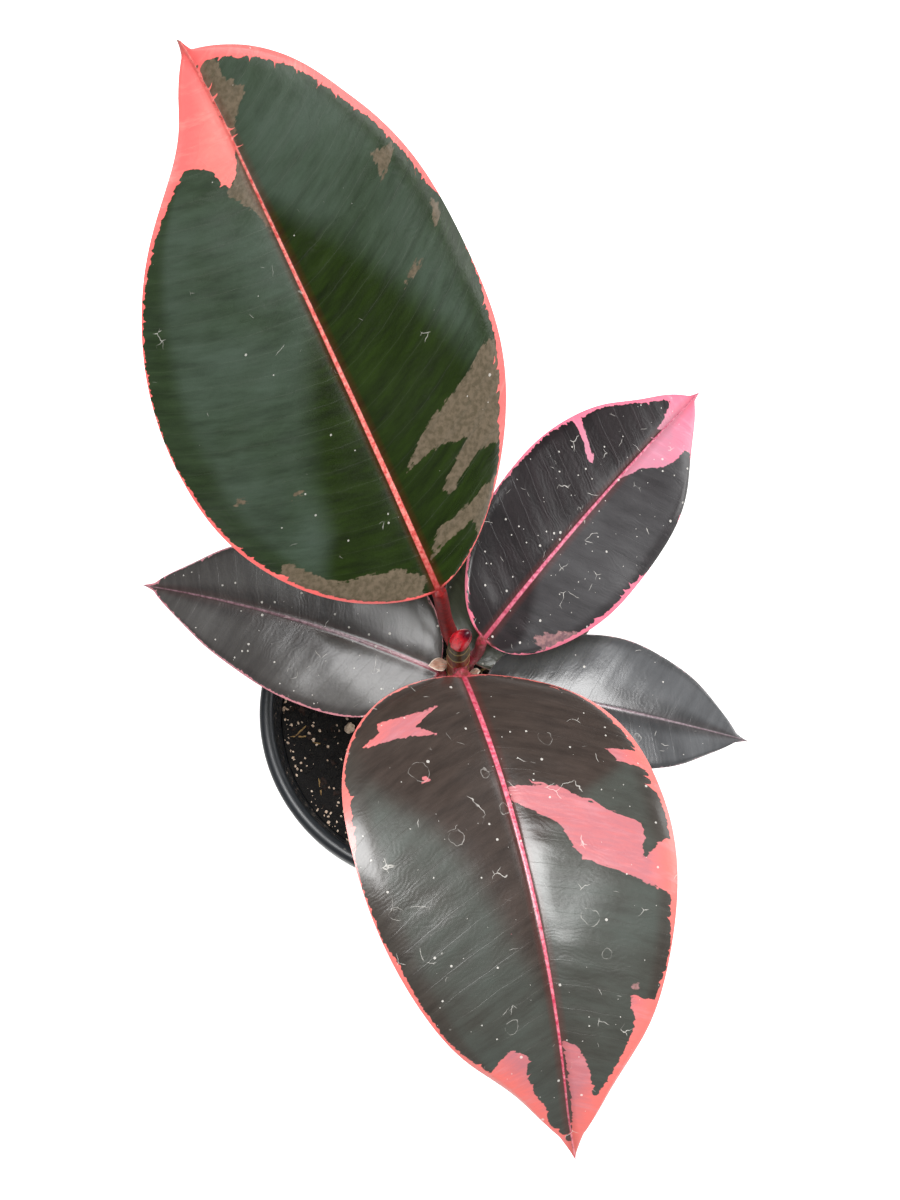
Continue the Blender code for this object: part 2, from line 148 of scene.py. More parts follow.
# Where the leaves have no green. A margin is (share along, millimetres of pink from the
# edge); a patch is an outline of (share along, share across), where across is +1 at the left
# margin of someone walking from the stem to the tip. Pink is tissue with no green at all, and
# taupe has one green layer out of two. The two sheen lines, left and right, are (share along,
# share across) from where on a grey-green painted sheen, which stands in for light reflected
# off the wax, lies over the green. The lower leaves are green nearly all over.
NEARLY_GREEN = dict(pink=[], taupe=[], painted_sheen_left=[(0, 0.4), (1, 0.2)],
                    painted_sheen_right=[(0, 0.4), (1, 0.2)])
VARIEGATION = {
    "leaf_1": dict(
        painted_sheen_left=[(0, 1), (0.12, 0.9), (0.2, 0.55), (0.3, 0.42), (0.4, 0.28), (0.5, 0.12),
                   (0.6, -0.1), (1, -0.2)],
        painted_sheen_right=[(0, 1.2), (0.2, 1.1), (0.3, 0.8), (0.4, 0.66), (0.5, 0.52), (0.6, 0.36),
                    (0.7, 0.14), (0.78, -0.1), (1, -0.2)],
        left=[(0, 0.9), (0.2, 1.1), (0.42, 0.8), (0.46, 0.35), (0.72, 0.5), (0.8, 1.1),
              (0.85, 2), (0.88, 6), (1, 9)],
        right=[(0, 0.7), (0.14, 1.2), (0.2, 3.2), (0.3, 2.6), (0.38, 1.8), (0.42, 0.7),
               (0.48, 0.3), (0.5, -0.4), (0.56, -0.4), (0.6, 1.7), (0.8, 2.2), (0.93, 2.4),
               (1, 3)],
        pink=[[(1.02, 0), (0.97, 1.1), (0.87, 1.1), (0.86, 0.85), (0.85, 0.6), (0.83, 0.36),
               (0.79, 0.21), (0.8, 0.1), (0.83, 0), (0.96, 0)],
              [(0.83, -0.76), (0.84, -1.05), (0.82, -1.05)],
              [(0.96, -0.25), (0.98, -1.1), (1.02, -1.1), (1.02, 0), (0.96, 0)]],
        taupe=[[(0.83, 0), (0.8, 0.12), (0.79, 0.25), (0.74, 0.08), (0.68, 0)],
               [(0.975, 0.02), (0.955, -0.5), (0.93, -0.27), (0.9, -0.4), (0.87, -0.12),
                (0.83, 0.02)],
               [(0.7, -0.78), (0.69, -0.95), (0.65, -0.72)],
               [(0.58, -0.93), (0.56, -0.97), (0.53, -0.84)],
               [(0.49, -0.52), (0.51, -0.58), (0.515, -0.72), (0.5, -0.66)],
               [(0.22, -0.12), (0.27, -0.35), (0.31, -0.72), (0.34, -0.92), (0.28, -1),
                (0.2, -0.9), (0.21, -0.65), (0.23, -0.38)],
               [(0.22, -0.66), (0.16, -0.36), (0.14, -0.4), (0.18, -0.72), (0.17, -0.9),
                (0.2, -1)],
               [(0.05, -0.05), (0.1, -0.24), (0.11, -0.65), (0.13, -1.05), (0.03, -1.05),
                (0.08, -0.7), (0.07, -0.25)],
               [(0.18, 0.83), (0.12, 0.8), (0.08, 0.36), (0.03, 0.1), (0.01, 0.6), (0.03, 1.05),
                (0.16, 1.05), (0.21, 0.88)],
               [(0.34, 0.77), (0.36, 0.8), (0.35, 0.85)],
               [(0.295, 0.49), (0.31, 0.53), (0.3, 0.58)]]),
    "leaf_2": dict(
        painted_sheen_left=[(0, 1.2), (0.25, 0.9), (0.33, 0.3), (0.42, 0), (1, -0.2)],
        painted_sheen_right=[(0, 1.2), (0.2, 0.9), (0.3, 0.55), (0.4, 0.35), (0.55, 0.2), (0.7, 0),
                    (1, -0.2)],
        left=[(0, 1), (0.13, 2), (0.24, 2), (0.31, 2.6), (0.38, 1.2), (0.5, 2.4), (0.58, 1.8),
              (0.61, 0.6), (0.66, 0.7), (0.7, 1.6), (0.76, 3), (1, 3)],
        right=[(0, 0.8), (0.2, 0.8), (0.23, 2.2), (0.31, 1.8), (0.34, 0.5), (0.48, 0.4),
               (0.53, 1.4), (0.7, 0.9), (0.78, 1.8), (1, 1.6)],
        pink=[[(0.07, -0.33), (0.09, -0.5), (0.1, -0.84), (0.12, -0.8), (0.15, -0.92),
               (0.14, -0.6), (0.145, -0.33), (0.12, -0.52)],
              [(0.215, -0.5), (0.23, -0.44), (0.235, -0.52)],
              [(0.26, 0.02), (0.28, 0.33), (0.32, 0.48), (0.39, 0.8), (0.45, 0.76), (0.42, 0.95),
               (0.46, 1.05), (0.55, 1.05), (0.5, 0.78), (0.42, 0.35), (0.35, 0.25), (0.29, 0.02)],
              [(0.22, 0.74), (0.24, 1.02), (0.3, 1), (0.27, 0.9), (0.25, 0.77)],
              [(0.53, -0.25), (0.54, -0.2), (0.525, -0.19)],
              [(0.69, 0.66), (0.71, 1.05), (0.86, 1.05), (0.8, 0.78), (0.74, 0.8)],
              [(0.74, 0.01), (0.76, 0.2), (0.84, 0.5), (0.87, 0.62), (0.86, 1.05), (1.02, 1.1),
               (1.02, 0), (0.9, 0.1)],
              [(0.8, -1.05), (0.74, -0.5), (0.76, -0.36), (0.8, -0.5), (0.85, -0.58),
               (0.88, -0.5), (0.95, -0.9), (1.02, -0.9), (1.02, -1.1)]],
        taupe=[[(0.66, 0.68), (0.68, 0.7), (0.67, 0.74)]]),
    "leaf_3": dict(
        painted_sheen_left=[(0, 1.3), (1, 1.3)],
        painted_sheen_right=[(0, 0.9), (0.15, 0.3), (0.3, -0.2), (1, -0.2)],
        left=[(0, 0.7), (0.35, 0.6), (0.45, 1), (0.55, 0.6), (0.6, 1), (0.68, 1.8), (0.74, 1.2),
              (0.85, 1.8), (0.9, 2.5), (1, 3)],
        right=[(0, 0.4), (0.1, 0.5), (0.15, 1.5), (0.43, 1.8), (0.48, 0.5), (0.52, -0.3),
               (0.64, -0.3), (0.67, 0.5), (0.7, -0.3), (0.81, -0.3), (0.84, 1.4), (1, 1.4)],
        pink=[[(0.675, 1.03), (0.655, 0.85), (0.6, 0.4), (0.575, 0.4), (0.61, 0.65),
               (0.635, 0.88), (0.64, 1.03)],
              [(0.9, 0.5), (0.86, 0.24), (0.81, 0.12), (0.83, 0), (0.61, 0), (0.69, -0.15),
               (0.75, -0.45), (0.83, -0.72), (0.85, -1.05), (1.02, -1.1), (1.02, 1.1),
               (0.92, 1.05)]],
        taupe=[[(0.1, -0.66), (0.14, -0.7), (0.2, -0.88), (0.22, -1.05), (0.1, -1.05)]]),
    "leaf_4": dict(NEARLY_GREEN, left=[(0, 0.6), (1, 0.9)], right=[(0, 0.5), (1, 0.8)]),
    "leaf_5": dict(NEARLY_GREEN, left=[(0, 0.5), (1, 0.4)], right=[(0, 0.4), (1, 0.4)]),
    "leaf_6": dict(NEARLY_GREEN, left=[(0, 0.5), (1, 0.5)], right=[(0, 0.5), (1, 0.5)]),
}


# ---------------------------------------------------------------- colour and node helpers
# Patterns on object coordinates have their scale in features per metre: 1000 is one each
# millimetre, and 130 one each 7.7 mm.
def srgb(code):
    """An sRGB hex colour as linear red, green, blue and alpha."""
    parts = [int(code[i:i + 2], 16) / 255 for i in (1, 3, 5)]
    return (*[p / 12.92 if p <= 0.04045 else ((p + 0.055) / 1.055) ** 2.4 for p in parts], 1.0)


def add(tree, kind, inputs=None, out=0, **settings):
    """Adds one shader node, sets or links its inputs, and returns one of its outputs."""
    made = tree.nodes.new("ShaderNode" + kind)
    for name, value in settings.items():
        setattr(made, name, value)
    for key, value in (inputs or {}).items():
        if isinstance(value, bpy.types.NodeSocket):
            tree.links.new(value, made.inputs[key])
        else:
            made.inputs[key].default_value = value
    return made.outputs[out] if made.outputs else made


def new_material(name):
    """A material with an empty node tree, and that tree."""
    made = bpy.data.materials.new(name)
    made.use_nodes = True
    made.node_tree.nodes.clear()
    return made, made.node_tree


# ---------------------------------------------------------------- leaf material
def leaf_patterns(tree, field):
    """Patterns that the layers of a leaf share; some follow the side veins."""
    place = add(tree, "TexCoord", out="Object")
    # Patterns in this space are drawn out along the veins, 1.1 mm by 5 mm.
    thin = add(tree, "Math", {0: field["vein"], 1: 0.9}, operation="MULTIPLY")
    long = add(tree, "Math", {0: field["across"], 1: 0.2}, operation="MULTIPLY")
    lines = add(tree, "CombineXYZ", {0: thin, 1: long, 2: field["under"]})
    fray = add(tree, "TexNoise", {"Vector": lines, "Scale": 1.0, "Detail": 4.0})
    stripes = add(tree, "TexNoise", {"Vector": lines, "Scale": 0.35, "Detail": 5.0,
                                     "Roughness": 0.65})
    stripes = add(tree, "MapRange", {0: stripes, 1: 0.3, 2: 0.7})
    wander = add(tree, "TexNoise", {"Vector": place, "Scale": 130.0, "Detail": 1.0})
    shift = add(tree, "Math", {0: wander, 1: 11.0, 2: field["vein"]}, operation="MULTIPLY_ADD")
    nibble = add(tree, "TexNoise", {"Vector": place, "Scale": 750.0, "Detail": 3.0})
    broad = add(tree, "TexNoise", {"Vector": place, "Scale": 45.0, "Detail": 3.0})
    return dict(place=place, fray=fray, stripes=stripes, wander=wander, shift=shift,
                nibble=nibble, broad=broad)


def tissue_areas(tree, field, pattern):
    """Where the tissue has no green, and where it has one green layer out of two."""
    # Dark tissue ends in round lobes with pink cusps between them, in some stretches only.
    lobe = add(tree, "Math", {0: pattern["shift"], 1: math.pi / LOBE_WIDTH},
               operation="MULTIPLY")
    lobe = add(tree, "Math", {0: lobe}, operation="SINE")
    lobe = add(tree, "Math", {0: lobe}, operation="ABSOLUTE")
    lobe = add(tree, "Math", {0: 1.0, 1: lobe}, operation="SUBTRACT")
    cusp = add(tree, "Math", {0: lobe, 1: 2.2}, operation="POWER")
    ease_off = add(tree, "MapRange", {0: pattern["wander"], 1: 0.42, 2: 0.66, 3: -0.3, 4: 1.7})
    cusp = add(tree, "Math", {0: cusp, 1: ease_off}, operation="MULTIPLY")
    ragged = add(tree, "Math", {0: pattern["fray"], 1: 1.3, 2: field["blush"]},
                 operation="MULTIPLY_ADD")
    ragged = add(tree, "Math", {0: pattern["nibble"], 1: 0.9, 2: ragged},
                 operation="MULTIPLY_ADD")
    ragged = add(tree, "Math", {0: cusp, 1: field["lobe"], 2: ragged}, operation="MULTIPLY_ADD")
    pink_area = add(tree, "MapRange", {0: ragged, 1: 1.18, 2: 1.36})
    soft = add(tree, "Math", {0: pattern["fray"], 1: 3.4, 2: field["taupe"]},
               operation="MULTIPLY_ADD")
    soft = add(tree, "Math", {0: pattern["nibble"], 1: 1.6, 2: soft}, operation="MULTIPLY_ADD")
    return pink_area, add(tree, "MapRange", {0: soft, 1: 2.3, 2: 2.7})


def green_tissue(tree, look, field, pattern, taupe_area):
    """Dark and light stripes between the veins, a painted grey-green sheen over them, and taupe
    patches.
    """
    stripes = pattern["stripes"]
    green = add(tree, "Mix", {0: stripes, 6: srgb(look["deep"]), 7: srgb(look["dark"])}, **BLEND)
    # Painted sheen: a grey-green tint over the green that stands in for light reflected off the
    # wax, as strong as the leaf's sheen field and sheen strength say.
    sheen_tint = add(tree, "Math", {0: stripes, 1: 0.35, 2: pattern["broad"]},
                operation="MULTIPLY_ADD")
    sheen_tint = add(tree, "MapRange", {0: sheen_tint, 1: 0.45, 2: 0.9, 3: 0.45, 4: 1.05})
    sheen_tint = add(tree, "Math", {0: sheen_tint, 1: look["painted_sheen"]}, operation="MULTIPLY")
    sheen_tint = add(tree, "Math", {0: sheen_tint, 1: field["painted_sheen"]}, operation="MULTIPLY")
    green = add(tree, "Mix", {0: sheen_tint, 6: green, 7: srgb(look["sheen_tint"])}, **BLEND)
    blotch = add(tree, "MapRange", {0: pattern["nibble"], 1: 0.38, 2: 0.62})
    brown = add(tree, "Mix", {0: blotch, 6: srgb(look["taupe"]), 7: srgb(look["taupe_pink"])},
                **BLEND)
    return add(tree, "Mix", {0: taupe_area, 6: green, 7: brown}, **BLEND)


def rosy_tissue(tree, look, field, pattern):
    """Tissue without green: rosier towards the edge, and streaked along the veins."""
    outer = add(tree, "MapRange", {0: field["edge"], 1: 0.0, 2: 9.0, 3: 0.75, 4: 0.0})
    outer = add(tree, "Math", {0: pattern["fray"], 1: 0.5, 2: outer}, operation="MULTIPLY_ADD")
    outer = add(tree, "MapRange", {0: outer, 1: 0.2, 2: 0.8})
    pink = add(tree, "Mix", {0: outer, 6: srgb(look["pink"]), 7: srgb(look["coral"])}, **BLEND)
    pale = add(tree, "MapRange", {0: pattern["stripes"], 1: 0.55, 2: 1.0, 3: 0.0, 4: 0.4})
    return add(tree, "Mix", {0: pale, 6: pink, 7: srgb(look["pale"])}, **BLEND)


def side_veins(tree, field, pattern):
    """Hair-thin lines, one for each side vein."""
    vein = add(tree, "Math", {0: pattern["wander"], 1: 1.2, 2: field["vein"]},
               operation="MULTIPLY_ADD")
    vein = add(tree, "Math", {0: vein, 1: math.pi / VEIN_SPACING}, operation="MULTIPLY")
    vein = add(tree, "Math", {0: vein}, operation="SINE")
    vein = add(tree, "Math", {0: vein}, operation="ABSOLUTE")
    return add(tree, "MapRange", {0: vein, 1: 0.0, 2: 0.06, 3: 1.0, 4: 0.0})


def red_midrib(tree, look, field, over, mottle, rib_area):
    """The midrib, redder near the stem, with a red haze in the tissue beside it."""
    halo = add(tree, "MapRange", {0: field["rib"], 1: -2.2, 2: 0.0, 3: 0.0, 4: look["halo"]})
    over = add(tree, "Mix", {0: halo, 6: over, 7: srgb(look["stalk"])}, **BLEND)
    rib = add(tree, "Mix", {0: mottle, 6: srgb(look["rib"]), 7: srgb(look["rib_light"])},
              **BLEND)
    low = add(tree, "MapRange", {0: field["vein"], 1: 2.0, 2: 26.0, 3: 0.75, 4: 0.0})
    rib = add(tree, "Mix", {0: low, 6: rib, 7: srgb(look["stalk_2"])}, **BLEND)
    return add(tree, "Mix", {0: rib_area, 6: over, 7: rib}, **BLEND)


def lint_and_drops(tree, look, place):
    """What settles on a leaf: lime specks, squiggles of lint and broken rings of dried drops.

    They are drawn a little coarser than real, so that they show.
    """
    bend = add(tree, "TexNoise", {"Vector": place, "Scale": 300.0, "Detail": 2.0}, out="Color")
    bent = add(tree, "VectorMath", {0: bend, 1: (0.0022, 0.0022, 0.0022), 2: place},
               operation="MULTIPLY_ADD")
    cells = add(tree, "TexVoronoi", {"Vector": place, "Scale": 480.0}).node
    chosen = add(tree, "SeparateColor", {0: cells.outputs["Color"]}).node
    reach = add(tree, "Math", {0: chosen.outputs[0], 1: 3.0}, operation="POWER")
    reach = add(tree, "Math", {0: reach, 1: 0.17, 2: 0.05}, operation="MULTIPLY_ADD")
    speck = add(tree, "Math", {0: cells.outputs["Distance"], 1: reach}, operation="LESS_THAN")
    some = add(tree, "Math", {0: chosen.outputs[1], 1: 1 - look["specks"]},
               operation="GREATER_THAN")
    speck = add(tree, "Math", {0: speck, 1: some}, operation="MULTIPLY")

    drops = add(tree, "TexVoronoi", {"Vector": bent, "Scale": 105.0}).node
    picked = add(tree, "SeparateColor", {0: drops.outputs["Color"]}).node
    size = add(tree, "MapRange", {0: picked.outputs[0], 1: 0.0, 2: 1.0, 3: 0.12, 4: 0.34})
    ring = add(tree, "Math", {0: drops.outputs["Distance"], 1: size}, operation="SUBTRACT")
    ring = add(tree, "Math", {0: ring}, operation="ABSOLUTE")
    ring = add(tree, "MapRange", {0: ring, 1: 0.002, 2: 0.012, 3: 0.55, 4: 0.0})
    few = add(tree, "Math", {0: picked.outputs[1], 1: 1 - look["rings"]},
              operation="GREATER_THAN")
    ring = add(tree, "Math", {0: ring, 1: few}, operation="MULTIPLY")
    broken = add(tree, "TexNoise", {"Vector": place, "Scale": 420.0, "Detail": 3.0})
    broken = add(tree, "MapRange", {0: broken, 1: 0.36, 2: 0.6})
    ring = add(tree, "Math", {0: ring, 1: broken}, operation="MULTIPLY")

    lint = add(tree, "TexVoronoi", {"Vector": bent, "Scale": 130.0},
               feature="DISTANCE_TO_EDGE")
    lint = add(tree, "MapRange", {0: lint, 1: 0.004, 2: 0.012, 3: 0.9, 4: 0.0})
    where = add(tree, "TexNoise", {"Vector": place, "Scale": 150.0, "Detail": 1.0})
    where = add(tree, "MapRange", {0: where, 1: look["lint"], 2: look["lint"] + 0.05})
    lint = add(tree, "Math", {0: lint, 1: where}, operation="MULTIPLY")
    dirt = add(tree, "Math", {0: speck, 1: lint}, operation="MAXIMUM")
    dirt = add(tree, "Math", {0: dirt, 1: ring}, operation="MAXIMUM")
    return add(tree, "Math", {0: dirt, 1: look["dirt"]}, operation="MULTIPLY")


def leaf_relief(tree, pattern, vein, dirt):
    """Relief in millimetres: fine ribbing between the side veins, sunk veins, leathery grain."""
    ribbing = add(tree, "Math", {0: pattern["shift"], 1: 2 * math.pi / RIBBING_SPACING},
                  operation="MULTIPLY")
    ribbing = add(tree, "Math", {0: ribbing}, operation="SINE")
    leather = add(tree, "TexNoise", {"Vector": pattern["place"], "Scale": 700.0, "Detail": 3.0})
    relief = add(tree, "Math", {0: ribbing, 1: 0.008}, operation="MULTIPLY")
    for layer, depth in ((leather, 0.07), (pattern["stripes"], 0.035), (vein, -0.03),
                         (dirt, 0.05)):
        relief = add(tree, "Math", {0: layer, 1: depth, 2: relief}, operation="MULTIPLY_ADD")
    return add(tree, "Bump", {"Height": relief, "Distance": MM, "Strength": 0.8})


def leaf_tissue(name, look):
    """Living leaf: pigmented tissue under a waxy cuticle, so colour shows through soft gloss."""
    made, tree = new_material(name)
    # What the skin says about each of its places, in millimetres or as a share.
    fields = ("vein", "across", "edge", "rib", "blush", "taupe", "lobe", "painted_sheen", "under",
              "stalk")
    field = {key: add(tree, "Attribute", out="Fac", attribute_name=key) for key in fields}
    pattern = leaf_patterns(tree, field)
    place = pattern["place"]
    pink_area, taupe_area = tissue_areas(tree, field, pattern)
    vein = side_veins(tree, field, pattern)
    faint = add(tree, "Math", {0: vein, 1: look["vein_show"]}, operation="MULTIPLY")
    mottle = add(tree, "TexNoise", {"Vector": place, "Scale": 900.0, "Detail": 2.0})
    mottle = add(tree, "MapRange", {0: mottle, 1: 0.35, 2: 0.65})
    rib_area = add(tree, "MapRange", {0: field["rib"], 1: -0.15, 2: 0.15})

    green = green_tissue(tree, look, field, pattern, taupe_area)
    green = add(tree, "Mix", {0: faint, 6: green, 7: srgb(look["vein"])}, **BLEND)
    pink = rosy_tissue(tree, look, field, pattern)
    pink = add(tree, "Mix", {0: faint, 6: pink, 7: srgb(look["rib"])}, **BLEND)
    over = add(tree, "Mix", {0: pink_area, 6: green, 7: pink}, **BLEND)
    over = red_midrib(tree, look, field, over, mottle, rib_area)
    dirt = lint_and_drops(tree, look, place)
    over = add(tree, "Mix", {0: dirt, 6: over, 7: srgb("#e9e4dc")}, **BLEND)

    # The underside is paler and dull, with the same patches, and its rib is dull red.
    beneath = add(tree, "Mix", {0: pattern["stripes"], 6: srgb(look["beneath"]),
                                7: srgb("#8a8a63")}, **BLEND)
    for share, shade in ((pink_area, "#e0a396"), (faint, "#b98d74"), (rib_area, "#9c5346")):
        beneath = add(tree, "Mix", {0: share, 6: beneath, 7: srgb(shade)}, **BLEND)
    side = add(tree, "MapRange", {0: field["under"], 1: 0.45, 2: 0.55})
    colour = add(tree, "Mix", {0: side, 6: over, 7: beneath}, **BLEND)

    # The petiole: deep red skin, mottled lengthwise, duller than the blade.
    red = add(tree, "Mix", {0: mottle, 6: srgb(look["stalk"]), 7: srgb(look["stalk_2"])},
              **BLEND)
    colour = add(tree, "Mix", {0: field["stalk"], 6: colour, 7: red}, **BLEND)

    rough = add(tree, "MapRange", {0: pattern["broad"], 1: 0.3, 2: 0.7,
                                   3: look["gloss"] - 0.05, 4: look["gloss"] + 0.08})
    for layer, duller in ((dirt, 0.3), (side, 0.28), (field["stalk"], 0.4)):
        rough = add(tree, "Math", {0: layer, 1: duller, 2: rough}, operation="MULTIPLY_ADD")
    shader = add(tree, "BsdfPrincipled", {
        "Base Color": colour, "Roughness": rough, "IOR": look["ior"],
        "Coat Weight": look["wax"], "Coat Roughness": 0.2,
        "Normal": leaf_relief(tree, pattern, vein, dirt)})
    add(tree, "OutputMaterial", {"Surface": shader})
    return made


# How each leaf looks. Colours: deep and dark are the stripes of the green tissue, sheen_tint
# the painted sheen on it, a grey-green that stands in for light reflected off the wax, pink,
# coral and pale the tissue without green, taupe and taupe_pink the half green patches, rib and
# stalk the midrib and the petiole. Shares: painted_sheen, vein_show, halo, dirt and wax are
# strengths, painted_sheen that of the painted sheen; specks, rings and lint say how much has
# settled on the blade, where a higher lint is less of it; gloss is the blade's roughness.
DEEP_GREEN = dict(deep="#0f1901", dark="#203006", sheen_tint="#414e43", painted_sheen=0.8, pink="#ec7a72",
                  coral="#ee6865", pale="#fb9a8e", taupe="#534a3a", taupe_pink="#665a4a",
                  vein="#46543a", vein_show=0.12, halo=0.35, rib="#c54b46",
                  rib_light="#f58f86", stalk="#5a0001", stalk_2="#7a0202", beneath="#6d7349",
                  specks=0.07, rings=0.0, lint=0.7, dirt=0.4, gloss=0.3, wax=0.08, ior=1.36)
GREY_GREEN = dict(deep="#2a211c", dark="#40352f", sheen_tint="#454b45", painted_sheen=0.85, pink="#b56d73",
                  coral="#e27069", pale="#cf8d93", taupe="#7b5d57", taupe_pink="#946f6e",
                  vein="#5d524c", vein_show=0.08, halo=0.36, rib="#c43c57",
                  rib_light="#ee8496", stalk="#641a14", stalk_2="#93283a", beneath="#767350",
                  specks=0.36, rings=0.24, lint=0.66, dirt=0.55, gloss=0.33, wax=0.5,
                  ior=1.45)
BLACK_GREEN = dict(GREY_GREEN, deep="#120d0e", dark="#241c1e", sheen_tint="#474647",
                   pink="#bf7c8f", coral="#e0728a", pale="#d99daf", taupe="#6e5358",
                   vein="#3c3636", rib="#a8465f", rib_light="#de8096", specks=0.6,
                   rings=0.03, lint=0.63, gloss=0.32, wax=0.3)
CHARCOAL = dict(GREY_GREEN, deep="#2b2726", dark="#3f3a38", sheen_tint="#4f4d4b", pink="#c08f96",
                coral="#c5808a", rib="#62434a", rib_light="#94707a", vein_show=0.06, halo=0.1,
                specks=0.5, rings=0.1, lint=0.65, gloss=0.38, wax=0.35)
SLATE = dict(GREY_GREEN, deep="#2e2e2f", dark="#424243", sheen_tint="#57585a", pink="#958086",
             coral="#7d7074", rib="#6e5c62", rib_light="#8f7f85", vein_show=0.05, halo=0.05,
             specks=0.15, rings=0.04, lint=0.68, gloss=0.31)
OLIVE = dict(GREY_GREEN, deep="#1d2015", dark="#343a2a", sheen_tint="#5c6356", pink="#a08a86",
             coral="#8f7a74", rib="#6d5c52", rib_light="#8f7d70", vein_show=0.06, halo=0.05,
             specks=0.25, rings=0.05, lint=0.66)
LOOKS = {
    "leaf_1": ("deep_green_leaf", DEEP_GREEN),
    "leaf_2": ("grey_green_leaf", GREY_GREEN),
    "leaf_3": ("black_green_leaf", BLACK_GREEN),
    "leaf_4": ("charcoal_leaf", CHARCOAL),
    "leaf_5": ("slate_leaf", SLATE),
    "leaf_6": ("olive_leaf", OLIVE),
}


# ---------------------------------------------------------------- other materials
def clinging_dust(tree, place, tone):
    """Peat dust and perlite crumbs that cling to the pot's inner wall above the mix."""
    inner = RIM_RADIUS - LIP_OVERHANG - WALL
    height = add(tree, "SeparateXYZ", {0: place}, out=2)
    flat = add(tree, "VectorMath", {0: place, 1: (1.0, 1.0, 0.0)}, operation="MULTIPLY")
    away = add(tree, "VectorMath", {0: flat}, out="Value", operation="LENGTH")
    within = add(tree, "MapRange", {0: away, 1: inner - 0.0004, 2: inner + 0.0001, 3: 1.0,
                                    4: 0.0})
    above = add(tree, "MapRange", {0: height, 1: SOIL_TOP - 0.001, 2: SOIL_TOP})
    within = add(tree, "Math", {0: within, 1: above}, operation="MULTIPLY")
    dust = add(tree, "TexNoise", {"Vector": place, "Scale": 420.0, "Detail": 5.0,
                                  "Roughness": 0.75})
    dust = add(tree, "MapRange", {0: dust, 1: 0.5, 2: 0.56})
    dust = add(tree, "Math", {0: dust, 1: within}, operation="MULTIPLY")
    tone = add(tree, "Mix", {0: dust, 6: tone, 7: srgb("#0a0605")}, **BLEND)
    crumb = add(tree, "TexVoronoi", {"Vector": place, "Scale": 620.0}).node
    pick = add(tree, "SeparateColor", {0: crumb.outputs["Color"]}).node
    rare = add(tree, "Math", {0: pick.outputs[0], 1: 0.78}, operation="GREATER_THAN")
    near = add(tree, "MapRange", {0: crumb.outputs["Distance"], 1: 0.2, 2: 0.3, 3: 1.0, 4: 0.0})
    near = add(tree, "Math", {0: near, 1: rare}, operation="MULTIPLY")
    near = add(tree, "Math", {0: near, 1: within}, operation="MULTIPLY")
    return add(tree, "Mix", {0: near, 6: tone, 7: srgb("#b9a594")}, **BLEND), dust


def pot_plastic():
    """Injection-moulded black polypropylene: satin, faintly scuffed, with dried splashes."""
    made, tree = new_material("black_polypropylene")
    place = add(tree, "TexCoord", out="Object")
    stretched = add(tree, "Mapping", {"Vector": place, "Scale": (1.0, 1.0, 7.0)})
    scuff = add(tree, "TexNoise", {"Vector": stretched, "Scale": 260.0, "Detail": 5.0,
                                   "Roughness": 0.7})
    scuff = add(tree, "MapRange", {0: scuff, 1: 0.56, 2: 0.8, 3: 0.0, 4: 0.35})
    splash = add(tree, "TexVoronoi", {"Vector": place, "Scale": 170.0}).node
    chosen = add(tree, "SeparateColor", {0: splash.outputs["Color"]}).node
    spot = add(tree, "MapRange", {0: splash.outputs["Distance"], 1: 0.05, 2: 0.09, 3: 1.0,
                                  4: 0.0})
    few = add(tree, "Math", {0: chosen.outputs[0], 1: 0.82}, operation="GREATER_THAN")
    spot = add(tree, "Math", {0: spot, 1: few}, operation="MULTIPLY")
    tone = add(tree, "Mix", {0: scuff, 6: srgb("#202327"), 7: srgb("#474b50")}, **BLEND)
    spot_show = add(tree, "Math", {0: spot, 1: 0.35}, operation="MULTIPLY")
    tone = add(tree, "Mix", {0: spot_show, 6: tone, 7: srgb("#8a8379")}, **BLEND)
    tone, dust = clinging_dust(tree, place, tone)
    cloud = add(tree, "TexNoise", {"Vector": place, "Scale": 60.0, "Detail": 3.0})
    rough = add(tree, "MapRange", {0: cloud, 1: 0.3, 2: 0.7, 3: 0.34, 4: 0.48})
    rough = add(tree, "Math", {0: spot_show, 1: 0.6, 2: rough}, operation="MULTIPLY_ADD")
    rough = add(tree, "Math", {0: dust, 1: 0.5, 2: rough}, operation="MULTIPLY_ADD")
    # Spark-eroded mould grain, 0.25 mm, drawn a little coarser than real so that it shows.
    grain = add(tree, "TexNoise", {"Vector": place, "Scale": 2600.0, "Detail": 2.0})
    relief = add(tree, "Math", {0: grain, 1: 0.02}, operation="MULTIPLY")
    relief = add(tree, "Math", {0: scuff, 1: -0.03, 2: relief}, operation="MULTIPLY_ADD")
    bump = add(tree, "Bump", {"Height": relief, "Distance": MM, "Strength": 0.6})
    shader = add(tree, "BsdfPrincipled", {"Base Color": tone, "Roughness": rough, "IOR": 1.49,
                                          "Normal": bump})
    add(tree, "OutputMaterial", {"Surface": shader})
    return made


